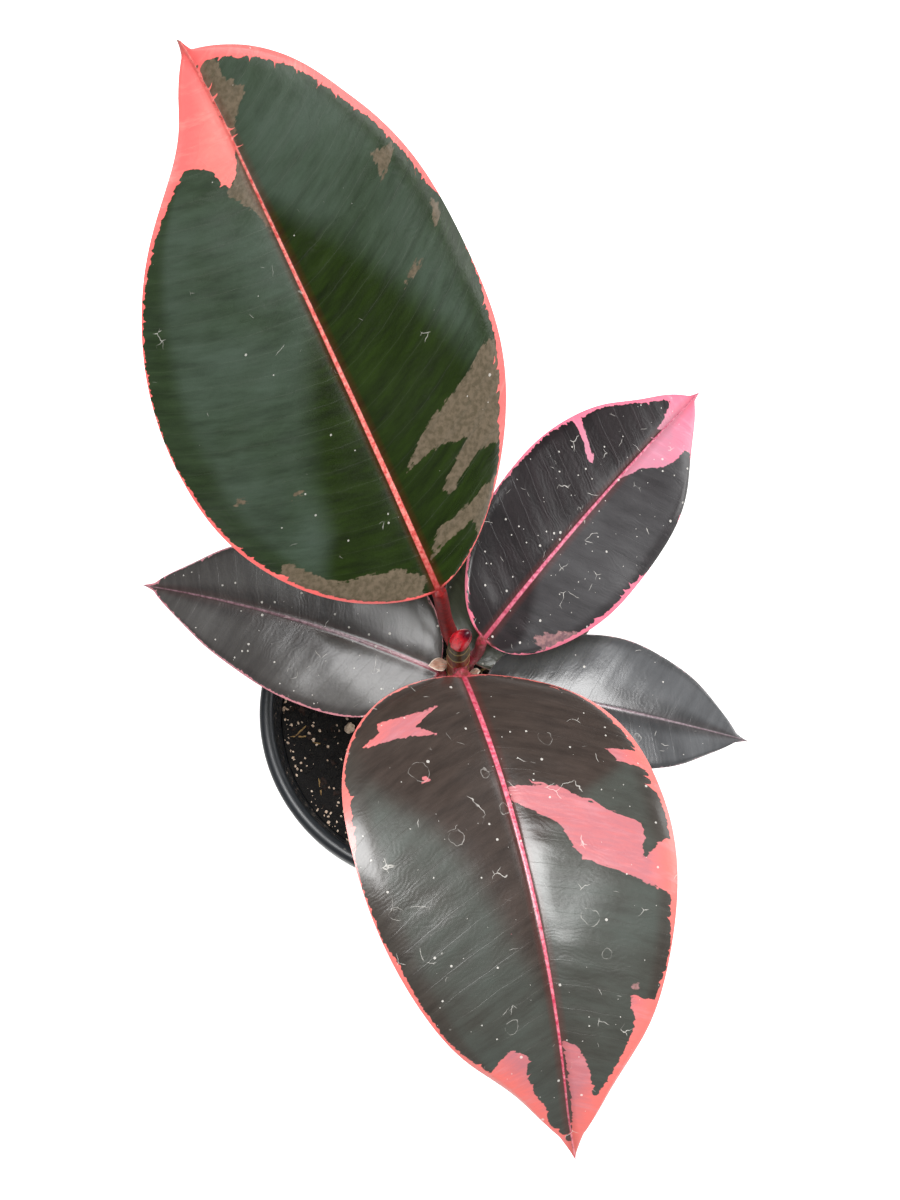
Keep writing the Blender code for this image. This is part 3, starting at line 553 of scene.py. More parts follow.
def crumbly(name, dark, light, speckle, grain_mm, rough, relief_mm):
    """Dull porous matter, such as peat, bark or perlite, mottled at its own grain size."""
    made, tree = new_material(name)
    place = add(tree, "TexCoord", out="Object")
    coarse = add(tree, "TexNoise", {"Vector": place, "Scale": 1000 / grain_mm / 3, "Detail": 5.0,
                                    "Roughness": 0.7})
    fine = add(tree, "TexNoise", {"Vector": place, "Scale": 1000 / grain_mm, "Detail": 4.0,
                                  "Roughness": 0.75})
    mottle = add(tree, "MapRange", {0: coarse, 1: 0.35, 2: 0.65})
    tone = add(tree, "Mix", {0: mottle, 6: srgb(dark), 7: srgb(light)}, **BLEND)
    flecks = add(tree, "MapRange", {0: fine, 1: 0.62, 2: 0.72, 3: 0.0, 4: 0.7})
    tone = add(tree, "Mix", {0: flecks, 6: tone, 7: srgb(speckle)}, **BLEND)
    pits = add(tree, "TexVoronoi", {"Vector": place, "Scale": 1000 / grain_mm})
    relief = add(tree, "Math", {0: fine, 1: 1.0, 2: pits}, operation="MULTIPLY_ADD")
    relief = add(tree, "Math", {0: relief, 1: relief_mm}, operation="MULTIPLY")
    bump = add(tree, "Bump", {"Height": relief, "Distance": MM, "Strength": 1.0})
    dull = add(tree, "MapRange", {0: fine, 1: 0.3, 2: 0.7, 3: rough - 0.1, 4: rough})
    shader = add(tree, "BsdfPrincipled", {"Base Color": tone, "Roughness": dull, "Normal": bump})
    add(tree, "OutputMaterial", {"Surface": shader})
    return made


def young_bark():
    """Green shoot turning to bark: olive at the top, red-brown below, cream ring scars."""
    made, tree = new_material("young_stem_bark")
    place = add(tree, "TexCoord", out="Object")
    age = add(tree, "Attribute", out="Fac", attribute_name="age")
    scar = add(tree, "Attribute", out="Fac", attribute_name="scar")
    streak = add(tree, "Mapping", {"Vector": place, "Scale": (1.0, 1.0, 0.3)})
    streak = add(tree, "TexNoise", {"Vector": streak, "Scale": 900.0, "Detail": 4.0})
    mottle = add(tree, "MapRange", {0: streak, 1: 0.35, 2: 0.65})
    young = add(tree, "Mix", {0: mottle, 6: srgb("#241600"), 7: srgb("#453403")}, **BLEND)
    red = add(tree, "Mix", {0: mottle, 6: srgb("#5a1602"), 7: srgb("#8a3c10")}, **BLEND)
    bark = add(tree, "Mix", {0: mottle, 6: srgb("#3b3322"), 7: srgb("#6b6248")}, **BLEND)
    ripe = add(tree, "MapRange", {0: age, 1: 11.0, 2: 12.5})
    old = add(tree, "MapRange", {0: age, 1: 30.0, 2: 60.0})
    tone = add(tree, "Mix", {0: ripe, 6: young, 7: red}, **BLEND)
    tone = add(tree, "Mix", {0: old, 6: tone, 7: bark}, **BLEND)
    cells = add(tree, "TexVoronoi", {"Vector": place, "Scale": 800.0}).node
    pore = add(tree, "MapRange", {0: cells.outputs["Distance"], 1: 0.12, 2: 0.2, 3: 0.7, 4: 0.0})
    tone = add(tree, "Mix", {0: pore, 6: tone, 7: srgb("#a4875a")}, **BLEND)
    tone = add(tree, "Mix", {0: scar, 6: tone, 7: srgb("#d8bd7a")}, **BLEND)
    rough = add(tree, "MapRange", {0: age, 1: 0.0, 2: 60.0, 3: 0.46, 4: 0.66})
    relief = add(tree, "Math", {0: pore, 1: 0.5, 2: streak}, operation="MULTIPLY_ADD")
    bump = add(tree, "Bump", {"Height": relief, "Distance": 0.12 * MM, "Strength": 1.0})
    shader = add(tree, "BsdfPrincipled", {"Base Color": tone, "Roughness": rough, "IOR": 1.38,
                                          "Normal": bump})
    add(tree, "OutputMaterial", {"Surface": shader})
    return made


def bud_sheath():
    """The fresh sheath round the next leaf: wet-looking crimson, purple tip, cream foot."""
    made, tree = new_material("crimson_bud_sheath")
    place = add(tree, "TexCoord", out="Object")
    share = add(tree, "Attribute", out="Fac", attribute_name="share")
    streak = add(tree, "Mapping", {"Vector": place, "Scale": (1.0, 1.0, 0.25)})
    streak = add(tree, "TexNoise", {"Vector": streak, "Scale": 1100.0, "Detail": 3.0})
    streak = add(tree, "MapRange", {0: streak, 1: 0.35, 2: 0.65})
    tone = add(tree, "Mix", {0: streak, 6: srgb("#a00014"), 7: srgb("#d60a22")}, **BLEND)
    tip = add(tree, "MapRange", {0: share, 1: 0.72, 2: 0.95})
    tone = add(tree, "Mix", {0: tip, 6: tone, 7: srgb("#3c0716")}, **BLEND)
    foot = add(tree, "MapRange", {0: share, 1: 0.03, 2: 0.09, 3: 0.85, 4: 0.0})
    tone = add(tree, "Mix", {0: foot, 6: tone, 7: srgb("#d9b48a")}, **BLEND)
    rough = add(tree, "MapRange", {0: streak, 3: 0.26, 4: 0.36})
    bump = add(tree, "Bump", {"Height": streak, "Distance": 0.03 * MM, "Strength": 1.0})
    shader = add(tree, "BsdfPrincipled", {"Base Color": tone, "Roughness": rough, "IOR": 1.38,
                                          "Coat Weight": 0.06, "Coat Roughness": 0.12,
                                          "Normal": bump})
    add(tree, "OutputMaterial", {"Surface": shader})
    return made


def dry_sheath():
    """A withered stipule: dull parchment with pinkish ribs and a pale edge."""
    made, tree = new_material("papery_stipule")
    place = add(tree, "TexCoord", out="Object")
    across = add(tree, "Attribute", out="Fac", attribute_name="across")
    edge = add(tree, "Attribute", out="Fac", attribute_name="edge")
    ribs = add(tree, "Math", {0: across, 1: 9.0}, operation="MULTIPLY")
    ribs = add(tree, "Math", {0: ribs}, operation="SINE")
    ribs = add(tree, "MapRange", {0: ribs, 1: -1.0, 2: 1.0})
    stain = add(tree, "TexNoise", {"Vector": place, "Scale": 500.0, "Detail": 4.0})
    stain = add(tree, "MapRange", {0: stain, 1: 0.35, 2: 0.65})
    tone = add(tree, "Mix", {0: ribs, 6: srgb("#d79c8b"), 7: srgb("#c6bba6")}, **BLEND)
    tone = add(tree, "Mix", {0: stain, 6: srgb("#a07460"), 7: tone}, **BLEND)
    rim = add(tree, "MapRange", {0: edge, 1: 0.1, 2: 0.4, 3: 0.8, 4: 0.0})
    tone = add(tree, "Mix", {0: rim, 6: tone, 7: srgb("#f0e4d4")}, **BLEND)
    bump = add(tree, "Bump", {"Height": ribs, "Distance": 0.06 * MM, "Strength": 1.0})
    dull = add(tree, "MapRange", {0: stain, 3: 0.55, 4: 0.8})
    shader = add(tree, "BsdfPrincipled", {"Base Color": tone, "Roughness": dull, "Normal": bump})
    add(tree, "OutputMaterial", {"Surface": shader})
    return made


# ---------------------------------------------------------------- modelling helpers
def skin(name, places, marks=None):
    """A grid primitive wrapped into a closed skin: rows run along it, columns round it.

    The first and last column meet, and the end rows close to a point. marks holds a value for
    each place, which the material reads as an attribute.
    """
    rows, columns = places.shape[:2]
    bpy.ops.object.select_all(action="DESELECT")
    bpy.ops.mesh.primitive_grid_add(x_subdivisions=columns - 1, y_subdivisions=rows - 1, size=2)
    made = bpy.context.object
    made.name = name
    mesh = made.data
    mesh.name = name
    flat = np.empty(len(mesh.vertices) * 3)
    mesh.vertices.foreach_get("co", flat)
    flat = flat.reshape(-1, 3)
    column = np.rint((flat[:, 0] + 1) / 2 * (columns - 1)).astype(int)
    row = np.rint((flat[:, 1] + 1) / 2 * (rows - 1)).astype(int)
    mesh.vertices.foreach_set("co", places[row, column].ravel())
    for key, values in (marks or {}).items():
        layer = mesh.attributes.new(key, "FLOAT", "POINT")
        layer.data.foreach_set("value", values[row, column].astype(np.float32))
    mesh.uv_layers[0].name = "OFBake"
    bpy.ops.object.mode_set(mode="EDIT")
    bpy.ops.mesh.select_all(action="SELECT")
    bpy.ops.mesh.remove_doubles(threshold=2e-7)
    bpy.ops.mesh.normals_make_consistent(inside=False)
    bpy.ops.object.mode_set(mode="OBJECT")
    bpy.ops.object.shade_smooth_by_angle(angle=math.radians(50))
    return made


def dress(made, finish, slot, *stands_for):
    """Gives a finished piece its material and lets it ride on the plant's body; its slot is not
    used.
    """
    made.data.materials.clear()
    made.data.materials.append(finish)
    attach(made, "root")
    if stands_for:
        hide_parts(*stands_for)


def fitted(places, node, plain=None):
    """Moves and stretches a shape as its plain form needs to fill the node's own box."""
    low, high = (np.array(corner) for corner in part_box(node))
    measured = places if plain is None else plain
    own_low, own_high = measured.min(axis=(0, 1)), measured.max(axis=(0, 1))
    return low + (places - own_low) * (high - low) / (own_high - own_low)


def turned(profile, around):
    """Places of a turned shape: one row for each profile point, one column for each step."""
    angles = np.linspace(0, 2 * math.pi, around + 1)
    radius, height = np.array(profile).T[:, :, None]
    return np.stack((radius * np.cos(angles), radius * np.sin(angles),
                     height + 0 * angles), axis=-1)


def arc(centre, radius, start, end, steps):
    """Points on an arc about a centre, from one angle to another in degrees."""
    turns = [math.radians(start + (end - start) * i / steps) for i in range(steps + 1)]
    return [(centre[0] + radius * math.cos(turn), centre[1] + radius * math.sin(turn))
            for turn in turns]


def run(start, end, steps):
    """Evenly spaced points from start to just before end."""
    return [(start[0] + (end[0] - start[0]) * i / steps,
             start[1] + (end[1] - start[1]) * i / steps) for i in range(steps)]


def level(degrees):
    """A level direction: 0 is +X and 90 is +Y."""
    return np.array((math.cos(math.radians(degrees)), math.sin(math.radians(degrees)), 0.0))


def bell(distance, spread):
    """1 at no distance, falling off to both sides."""
    return np.exp(-(distance / spread) ** 2)


def ease(value):
    """0 to 1 with a soft start and end."""
    share = np.clip(value, 0, 1)
    return share * share * (3 - 2 * share)


# ---------------------------------------------------------------- leaves
def half_width(share, leaf, side):
    """Half width of the blade in metres, on the left for side 1 and on the right for side -1.

    It is a blunt oval that ends in a drip tip; a blade may be fuller on one side of its tip
    and drawn in on the other.
    """
    widest, body_end = leaf["widest"], leaf["tip"]
    share = np.clip(share, 0, 1)
    left = side > 0
    full = np.where(left, *leaf["fullness"])
    base = 1 - (np.clip(widest - share, 0, None) / widest) ** 2.2
    point = 1 - (np.clip(share - widest, 0, None) / (body_end - widest)) ** 2
    body = np.where(share < widest, base ** leaf["base"], np.clip(point, 0, None) ** full)
    drawn_left, drawn_right, where, spread = leaf["drawn_in"]
    body = body * (1 - np.where(left, drawn_left, drawn_right) * bell(share - where, spread))
    width = np.where(left, leaf["left"], leaf["right"])
    cone = np.where(left, *leaf["cusp"]) * leaf["length"] * (1 - share) ** 1.12
    return np.hypot(body * width, cone * np.clip((share - 0.78) / 0.16, 0, 1))


def blade_frames(leaf, foot, shares):
    """Centre, side, up and forward direction of the blade at each share of its length."""
    ahead = shares + math.pi / 2 / BLADE_STATIONS * np.sqrt(np.clip(shares * (1 - shares), 0, 1))

    def directions(at):
        """Forward and level sideways directions at some shares of the length."""
        heading = np.radians(leaf["heading"] + leaf["bend"] * (at - 0.5))
        climb = np.radians(leaf["climb"][0] + (leaf["climb"][1] - leaf["climb"][0]) * at)
        along = np.stack((np.cos(heading) * np.cos(climb), np.sin(heading) * np.cos(climb),
                          np.sin(climb)), axis=-1)
        side = np.stack((-np.sin(heading), np.cos(heading), 0 * heading), axis=-1)
        return along, side

    steps = np.diff(shares, prepend=0.0)[:, None] * leaf["length"]
    centre = foot + np.cumsum(directions(ahead)[0] * steps, axis=0)
    along, side = directions(shares)
    up = np.cross(along, side)
    roll = np.radians(leaf["roll"] + leaf["twist"] * (shares - 0.5))[:, None]
    return (centre, side * np.cos(roll) + up * np.sin(roll),
            up * np.cos(roll) - side * np.sin(roll), along)


def outline_distance(points, line):
    """Distance from each point to a line through a list of points, all in a plane."""
    start, end = line[:-1], line[1:]
    run_by = end - start
    length = np.maximum((run_by ** 2).sum(axis=1), 1e-12)
    nearest = np.full(len(points), 1e9)
    for begin, step, squared in zip(start, run_by, length):
        share = np.clip(((points - begin) @ step) / squared, 0, 1)
        offset = points - begin - share[:, None] * step
        nearest = np.minimum(nearest, (offset ** 2).sum(axis=1))
    return np.sqrt(nearest)


def patch_depth(points, outline):
    """How deep each point lies inside a closed outline; negative outside it."""
    closed = np.vstack((outline, outline[:1]))
    inside = np.zeros(len(points), bool)
    for (x1, y1), (x2, y2) in zip(closed[:-1], closed[1:]):
        if y1 == y2:
            continue
        crosses = (points[:, 1] < y1) != (points[:, 1] < y2)
        at = x1 + (points[:, 1] - y1) * (x2 - x1) / (y2 - y1)
        inside ^= crosses & (points[:, 0] < at)
    distance = outline_distance(points, closed)
    return np.where(inside, distance, -distance)


def tissue_marks(leaf, pattern, share, across):
    """Where each place of the blade lies, in millimetres: veins, margin, rib and patches."""
    length = leaf["length"] / MM
    side = np.where(across >= 0, 1, -1)
    off = np.abs(across) * half_width(share, leaf, side) / MM
    flat = np.stack(((share * length).ravel(), (side * off).ravel()), axis=1)
    steps = np.concatenate(([0.0, 0.0005, 0.002], np.linspace(0.005, 1, 150)))
    edge = np.full(len(flat), 1e9)
    for sign in (1, -1):
        rim = np.stack((steps * length, sign * half_width(steps, leaf, sign) / MM), axis=1)
        edge = np.minimum(edge, outline_distance(flat, rim))
    edge = np.where(np.abs(across).ravel() > 0.9999, 0.0, edge).reshape(share.shape)

    margin = np.where(side > 0, np.interp(share, *np.array(pattern["left"]).T),
                      np.interp(share, *np.array(pattern["right"]).T))
    fields = {"pink": margin - edge, "taupe": np.full(share.shape, -20.0)}
    lobe = np.clip(0.1 + 0.5 * margin, 0.1, 1.5)
    for kind in fields:
        for patch in pattern[kind]:
            corners = np.array(patch + patch[:1])
            fine = np.vstack([corners[i] + (corners[i + 1] - corners[i]) * np.arange(6)[:, None] / 6
                              for i in range(len(corners) - 1)])
            reach = half_width(fine[:, 0], leaf, fine[:, 1]) / MM
            outline = np.stack((fine[:, 0] * length, fine[:, 1] * reach), axis=1)
            depth = patch_depth(flat, outline).reshape(share.shape)
            fields[kind] = np.maximum(fields[kind], depth)
    # The painted sheen: how much grey-green tint, standing in for light reflected off the blade,
    # lies on each place; it grows outwards from the sheen lines and fades near the margin.
    start = np.where(side > 0, np.interp(share, *np.array(pattern["painted_sheen_left"]).T),
                     np.interp(share, *np.array(pattern["painted_sheen_right"]).T))
    painted_sheen = ease((np.abs(across) - start) / 0.24 + 0.5)
    painted_sheen = painted_sheen * (1 - 0.6 * ease((np.abs(across) - 0.8) / 0.1))
    rib = (leaf["petiole"] * 0.36 * (1 - share) ** 0.8 + 0.0001) / MM
    return dict(vein=share * length - 0.30 * off - 0.0035 * off ** 2, across=side * off,
                edge=edge, rib=rib - off, blush=fields["pink"], taupe=fields["taupe"], lobe=lobe,
                painted_sheen=painted_sheen)


def blade_relief(leaf, share, across, marks):
    """Height of the blade's own relief in metres: pleats between veins, waves and a rolled rim."""
    off = np.abs(marks["across"])
    vein = marks["vein"]
    uneven = 0.7 + 0.5 * np.sin(vein / 9.7 + 1.0) * np.sin(off / 6.1 + vein / 23)
    pleats = leaf["pleats"] * np.sin(2 * math.pi * vein / VEIN_SPACING + 0.6) * ease(off / 7)
    pleats = pleats * uneven * (1 - across ** 4)
    pleats = pleats + 0.16 * np.sin(vein / 4.3 + off / 7) * np.sin(off / 4.9) * (1 - across ** 4)
    waves = 0.7 * across ** 2 * np.sin(
        2 * math.pi * (share * 2.6 + np.where(across > 0, 0.1, 0.45)))
    rolled = -0.45 * ease((np.abs(across) - 0.9) / 0.1)
    return (pleats + waves + rolled) * MM


def blade_places(leaf, share, across, face, marks, frames):
    """The blade's two faces, folded and cupped about the midrib, with a hooked tip."""
    centre, side, up, along = (part[1:-1, None, :] for part in frames)
    rib = leaf["petiole"] * MIDRIB_SHARE * (1 - share)
    width = half_width(share, leaf, np.where(across >= 0, 1, -1))
    width = np.maximum(width, rib + 2 * TIP_RADIUS * (1 - share) + 0.00012)
    part = np.abs(across)
    turn = BLADE_FOLD + BLADE_CUP * part
    out = (np.sin(turn) - math.sin(BLADE_FOLD)) / BLADE_CUP * width * np.sign(across)
    rise = (math.cos(BLADE_FOLD) - np.cos(turn)) / BLADE_CUP * width
    near_tip = (np.clip(share - 0.86, 0, 1) / 0.14) ** 2 * MM
    out = out + leaf["hook"] * near_tip
    normal = up * np.cos(turn)[..., None] - side * (np.sign(across) * np.sin(turn))[..., None]

    # The midrib lies in a channel above and stands out below.
    thick = np.minimum(BLADE_THICKNESS / 2, width / 3) * np.sqrt(1 - part ** 10)
    off = np.abs(marks["across"]) * MM
    rib = rib + TIP_RADIUS * share
    depth = 0.45 * MM * leaf["length"] / LEAVES["leaf_1"]["length"] * ease(width / rib / 4)
    channel = depth * (bell(off, rib * 0.6) - bell(off, 2.6 * MM))
    lift = np.where(face > 0, thick + channel, 0.0)
    lift = np.where(face < 0, -thick - rib * 1.2 * bell(off, rib), lift)
    lift = lift + blade_relief(leaf, share, across, marks) * ease(share * 12)
    return (centre + side * out[..., None] + up * rise[..., None] + normal * lift[..., None]
            + along * leaf["drip"] * near_tip[..., None])


def petiole_places(leaf, start, end, along, side, around, sink):
    """The petiole: round sections on a smooth line, its foot sunk into the stem."""
    angle = math.radians(leaf["angle"])
    steps = np.arange(PETIOLE_SECTIONS) / PETIOLE_SECTIONS
    span = np.linalg.norm(end - start)
    launch = (level(leaf["out"]) * math.cos(angle) + np.array((0, 0, math.sin(angle)))) * span
    arrive = along * span * PETIOLE_ELBOW
    t = steps[:, None]
    line = (start * (2 * t ** 3 - 3 * t ** 2 + 1) + launch * (t ** 3 - 2 * t ** 2 + t)
            + end * (3 * t ** 2 - 2 * t ** 3) + arrive * (t ** 3 - t ** 2))
    ahead = (start * (6 * t ** 2 - 6 * t) + launch * (3 * t ** 2 - 4 * t + 1)
             + end * (6 * t - 6 * t ** 2) + arrive * (3 * t ** 2 - 2 * t))
    ahead = ahead / np.linalg.norm(ahead, axis=1)[:, None]
    lateral = side - ahead * (ahead @ side)[:, None]
    lateral = lateral / np.linalg.norm(lateral, axis=1)[:, None]
    above = np.cross(ahead, lateral)
    radius = leaf["petiole"] * (1 + 0.14 * bell(steps, 0.16))
    ring = (lateral[:, None, :] * np.cos(around)[None, :, None]
            + above[:, None, :] * np.sin(around)[None, :, None])
    stalk = line[:, None, :] + ring * radius[:, None, None]
    sunk = stalk[:1] - level(leaf["out"]) * sink - np.array((0, 0, 0.9)) * leaf["petiole"]
    foot = np.broadcast_to(sunk.mean(axis=1, keepdims=True), sunk.shape)
    return np.concatenate((foot, sunk, stalk))


def leaf_places(leaf, pattern, rows, half, foot_radius):
    """Places and marks of one leaf: petiole, midrib and blade in one skin."""
    out = level(leaf["out"])
    clear = foot_radius + GAP + leaf["petiole"] * math.sin(math.radians(leaf["angle"]))
    start = stem_axis(STEM_HEIGHT - leaf["down"]) + out * clear
    end = start + out * leaf["reach"] + np.array((0, 0, leaf["rise"]))
    spread = (np.arange(rows) + 0.5) / rows
    shares = 0.3 * spread + 0.7 * (1 - np.cos(math.pi * spread)) / 2
    frames = blade_frames(leaf, end, np.concatenate(([0.0], shares, [1.0])))
    centre, side, _, along = frames

    # Places across: close together at the midrib and at the margins.
    even = np.linspace(-1, 1, half + 1)
    reach = np.sign(even) * (1 - (1 - np.abs(even) ** 1.4) ** 1.25)
    across = np.concatenate((reach, reach[::-1][1:]))
    column = np.arange(2 * half + 1)
    face = np.where(column <= half, 1.0, -1.0)
    face[[0, half, 2 * half]] = 0.0
    share, across = np.broadcast_arrays(shares[:, None], across[None, :])
    marks = tissue_marks(leaf, pattern, share, across)
    blade = blade_places(leaf, share, across, face, marks, frames)
    stalk = petiole_places(leaf, start, end, along[0], side[0], math.pi * (1 - column / half),
                           clear - 0.3 * foot_radius)
    tip = np.broadcast_to(centre[-1] + (side[-1] * leaf["hook"] + along[-1] * leaf["drip"]) * MM,
                          blade[:1].shape)

    def extended(values, before, after):
        """A mark of the blade carried on over the petiole and the tip."""
        first = np.full((len(stalk), values.shape[1]), before, float)
        return np.concatenate((first, values, np.full((1, values.shape[1]), after, float)))

    under = np.broadcast_to(np.where(face < 0, 1.0, np.where(face > 0, 0.0, 0.5)), share.shape)
    all_marks = {key: extended(values, values[0].mean(), values[-1].mean())
                 for key, values in marks.items()}
    all_marks["under"] = extended(under, 0.0, 0.5)
    all_marks["stalk"] = extended(1 - ease(share * 90), 1.0, 0.0)
    return np.concatenate((stalk, blade, tip)), all_marks


def stem_axis(height):
    """Middle of the stem at a height above the mix; it leans over near the mix."""
    share = min(max(height / LEAN_HEIGHT, 0.0), 1.0)
    return np.array((STEM_LEAN * share * share * (3 - 2 * share), 0.0, SOIL_TOP + height))


def stem_radius(height):
    """The stem tapers upwards and swells a little at each leaf."""
    plain = STEM_RADIUS - STEM_TAPER * max(height, 0.0) / STEM_HEIGHT
    swell = sum(math.exp(-((height - STEM_HEIGHT + leaf["down"]) / NODE_SPREAD) ** 2)
                for leaf in LEAVES.values())
    return plain + NODE_SWELL * min(swell, 1.0)


def grow_leaves():
    """Every leaf, placed so that its plain outline without the sunk foot fills its node."""
    for name, leaf in LEAVES.items():
        rows, half = (190, 72) if leaf["length"] > 0.11 else (130, 56)
        foot_radius = stem_radius(STEM_HEIGHT - leaf["down"])
        plain, _ = leaf_places(dict(leaf, **PLAIN_OUTLINE), VARIEGATION["leaf_6"], 40, 24,
                               foot_radius)
        places, marks = leaf_places(leaf, VARIEGATION[name], rows, half, foot_radius)
        made = skin("variegated_" + name, fitted(places, name, plain[2:]), marks)
        finish = leaf_tissue(*LOOKS[name])
        dress(made, finish, "leaf_green" if name == "leaf_1" else "leaf_dark", name)


def dry_sheaths():
    """Two withered stipules, folded along the middle like small keels, and crumpled."""
    finish = dry_sheath()
    for number, (name, sheath) in enumerate(SHEATHS.items()):
        rows, half = 40, 20
        shape = dict(PLAIN_OUTLINE, heading=sheath["out"], bend=0, climb=sheath["climb"],
                     length=sheath["length"], left=sheath["half"], right=sheath["half"],
                     widest=0.35, roll=0, twist=0, base=0.5, tip=0.95, cusp=(0.3, 0.3))
        height = STEM_HEIGHT - sheath["down"]
        foot = stem_axis(height) + level(sheath["out"]) * stem_radius(height)
        shares = (np.arange(rows) + 0.5) / rows
        centre, side, up, _ = blade_frames(shape, foot, np.concatenate((shares, [1.0])))
        even = np.linspace(-1, 1, half + 1)
        across = np.concatenate((even, even[::-1][1:]))
        face = np.where(np.arange(2 * half + 1) <= half, 1.0, -1.0)
        face[[0, half, 2 * half]] = 0.0
        share, across = np.broadcast_arrays(shares[:, None], across[None, :])
        width = half_width(share, shape, across)
        out = across * width * 0.82
        rise = (np.abs(across) - 0.4) * -0.75 * width
        crumple = 0.16 * MM * np.sin(share * 17 + across * 3 + number) * (1 - across ** 2)
        lift = rise + crumple + face * 0.09 * MM
        blade = (centre[:-1, None, :] + side[:-1, None, :] * out[..., None]
                 + up[:-1, None, :] * lift[..., None])
        first = np.broadcast_to(blade[:1].mean(axis=1, keepdims=True), blade[:1].shape)
        last = np.broadcast_to(centre[-1], first.shape)
        places = fitted(np.concatenate((first, blade, last)), name)
        places = places + np.array(sheath["set_off"]) * MM
        edge = (1 - np.abs(across)) * width / MM
        marks = {"across": across * width / MM, "edge": edge}
        marks = {key: np.concatenate((values[:1], values, values[-1:]))
                 for key, values in marks.items()}
        dress(skin("papery_" + name, places, marks), finish, "papery_sheath", name)


def leafy_stem():
    """The stem with its ring scars; it runs down into the potting mix."""
    levels = np.concatenate(([STEM_BOTTOM - SOIL_TOP], np.linspace(-0.004, STEM_HEIGHT, 300)))
    angles = np.linspace(0, 2 * math.pi, 49)
    rows, scars = [], []
    for height in levels:
        radius = stem_radius(max(height, 0.0))
        wobble = 1 + 0.02 * np.sin(3 * angles + 60 * height)
        wobble = wobble + 0.012 * np.sin(7 * angles - 90 * height)
        feet = [abs(height - STEM_HEIGHT + leaf["down"]) for leaf in LEAVES.values()]
        feet.append(abs(height - STEM_HEIGHT + 0.0035))
        near = min(feet) / MM
        groove = 1 - 0.03 * math.exp(-((near - 0.5) / 0.3) ** 2)
        groove -= 0.16 * ease((height - STEM_HEIGHT) / MM + 1)     # its rounded top
        rows.append(stem_axis(height) + np.stack((radius * groove * wobble * np.cos(angles),
                                                  radius * groove * wobble * np.sin(angles),
                                                  0 * angles), axis=-1))
        scars.append(np.full(len(angles), 0.9 * math.exp(-(near / 0.32) ** 2)))
    places = np.array(rows)
    closed = [np.broadcast_to(places[i].mean(axis=0), places[i].shape)[None] for i in (0, -1)]
    places = np.concatenate((closed[0], places, closed[1]))
    scar = np.array([scars[0], *scars, scars[-1]])
    age = (STEM_HEIGHT - np.concatenate((levels[:1], levels, levels[-1:]))) / MM
    age = np.broadcast_to(age[:, None], scar.shape)
    made = skin("ringed_stem", fitted(places, "stem"), {"scar": scar, "age": age})
    dress(made, young_bark(), "stem_bark", "stem")


def crimson_bud():
    """The rolled sheath over the next leaf: a fat drop with one spiral overlap."""
    rows, around = 48, 48
    share = np.linspace(0, 1, rows)[:, None]
    angles = np.linspace(0, 2 * math.pi, around + 1)[None, :]
    radius = BUD_RADIUS * np.sin(math.pi * np.minimum(share, 0.97) / 1.94) ** 0.8
    radius = radius * (1 - 0.35 * ease((share - 0.93) / 0.07))
    height = BUD_HEIGHT * (1 - share ** 1.6) + 0 * angles
    seam = np.angle(np.exp(1j * (angles - 1.2 - 2.4 * share)))
    radius = radius * (1 - 0.07 * bell(seam, 0.16) + 0.045 * bell(seam - 0.25, 0.2))
    bend = 0.0009 * (1 - share) ** 2
    places = np.stack((radius * np.cos(angles) + bend, radius * np.sin(angles) + bend,
                       height), axis=-1)
    places[0] = places[0].mean(axis=0)
    places[-1] = places[-1].mean(axis=0)
    tilt = np.array(Matrix.Rotation(math.radians(14), 3, "Y"))
    places = fitted(places @ tilt.T, "terminal_bud")
    # Its foot is drawn down into the stem's top, so that no light passes under it.
    places[-4:, :, 2] -= 1.5 * MM * np.array((0.3, 0.7, 1, 1))[:, None]
    marks = {"share": np.broadcast_to(1 - share ** 1.6, places.shape[:2])}
    dress(skin("crimson_bud", places, marks), bud_sheath(), "bud_red", "terminal_bud")


# ---------------------------------------------------------------- pot
def wall_radius(height):
    """Outside radius of the tapered wall at a height above the table."""
    top = RIM_RADIUS - LIP_OVERHANG
    return BASE_RADIUS + (top - BASE_RADIUS) * height / POT_HEIGHT


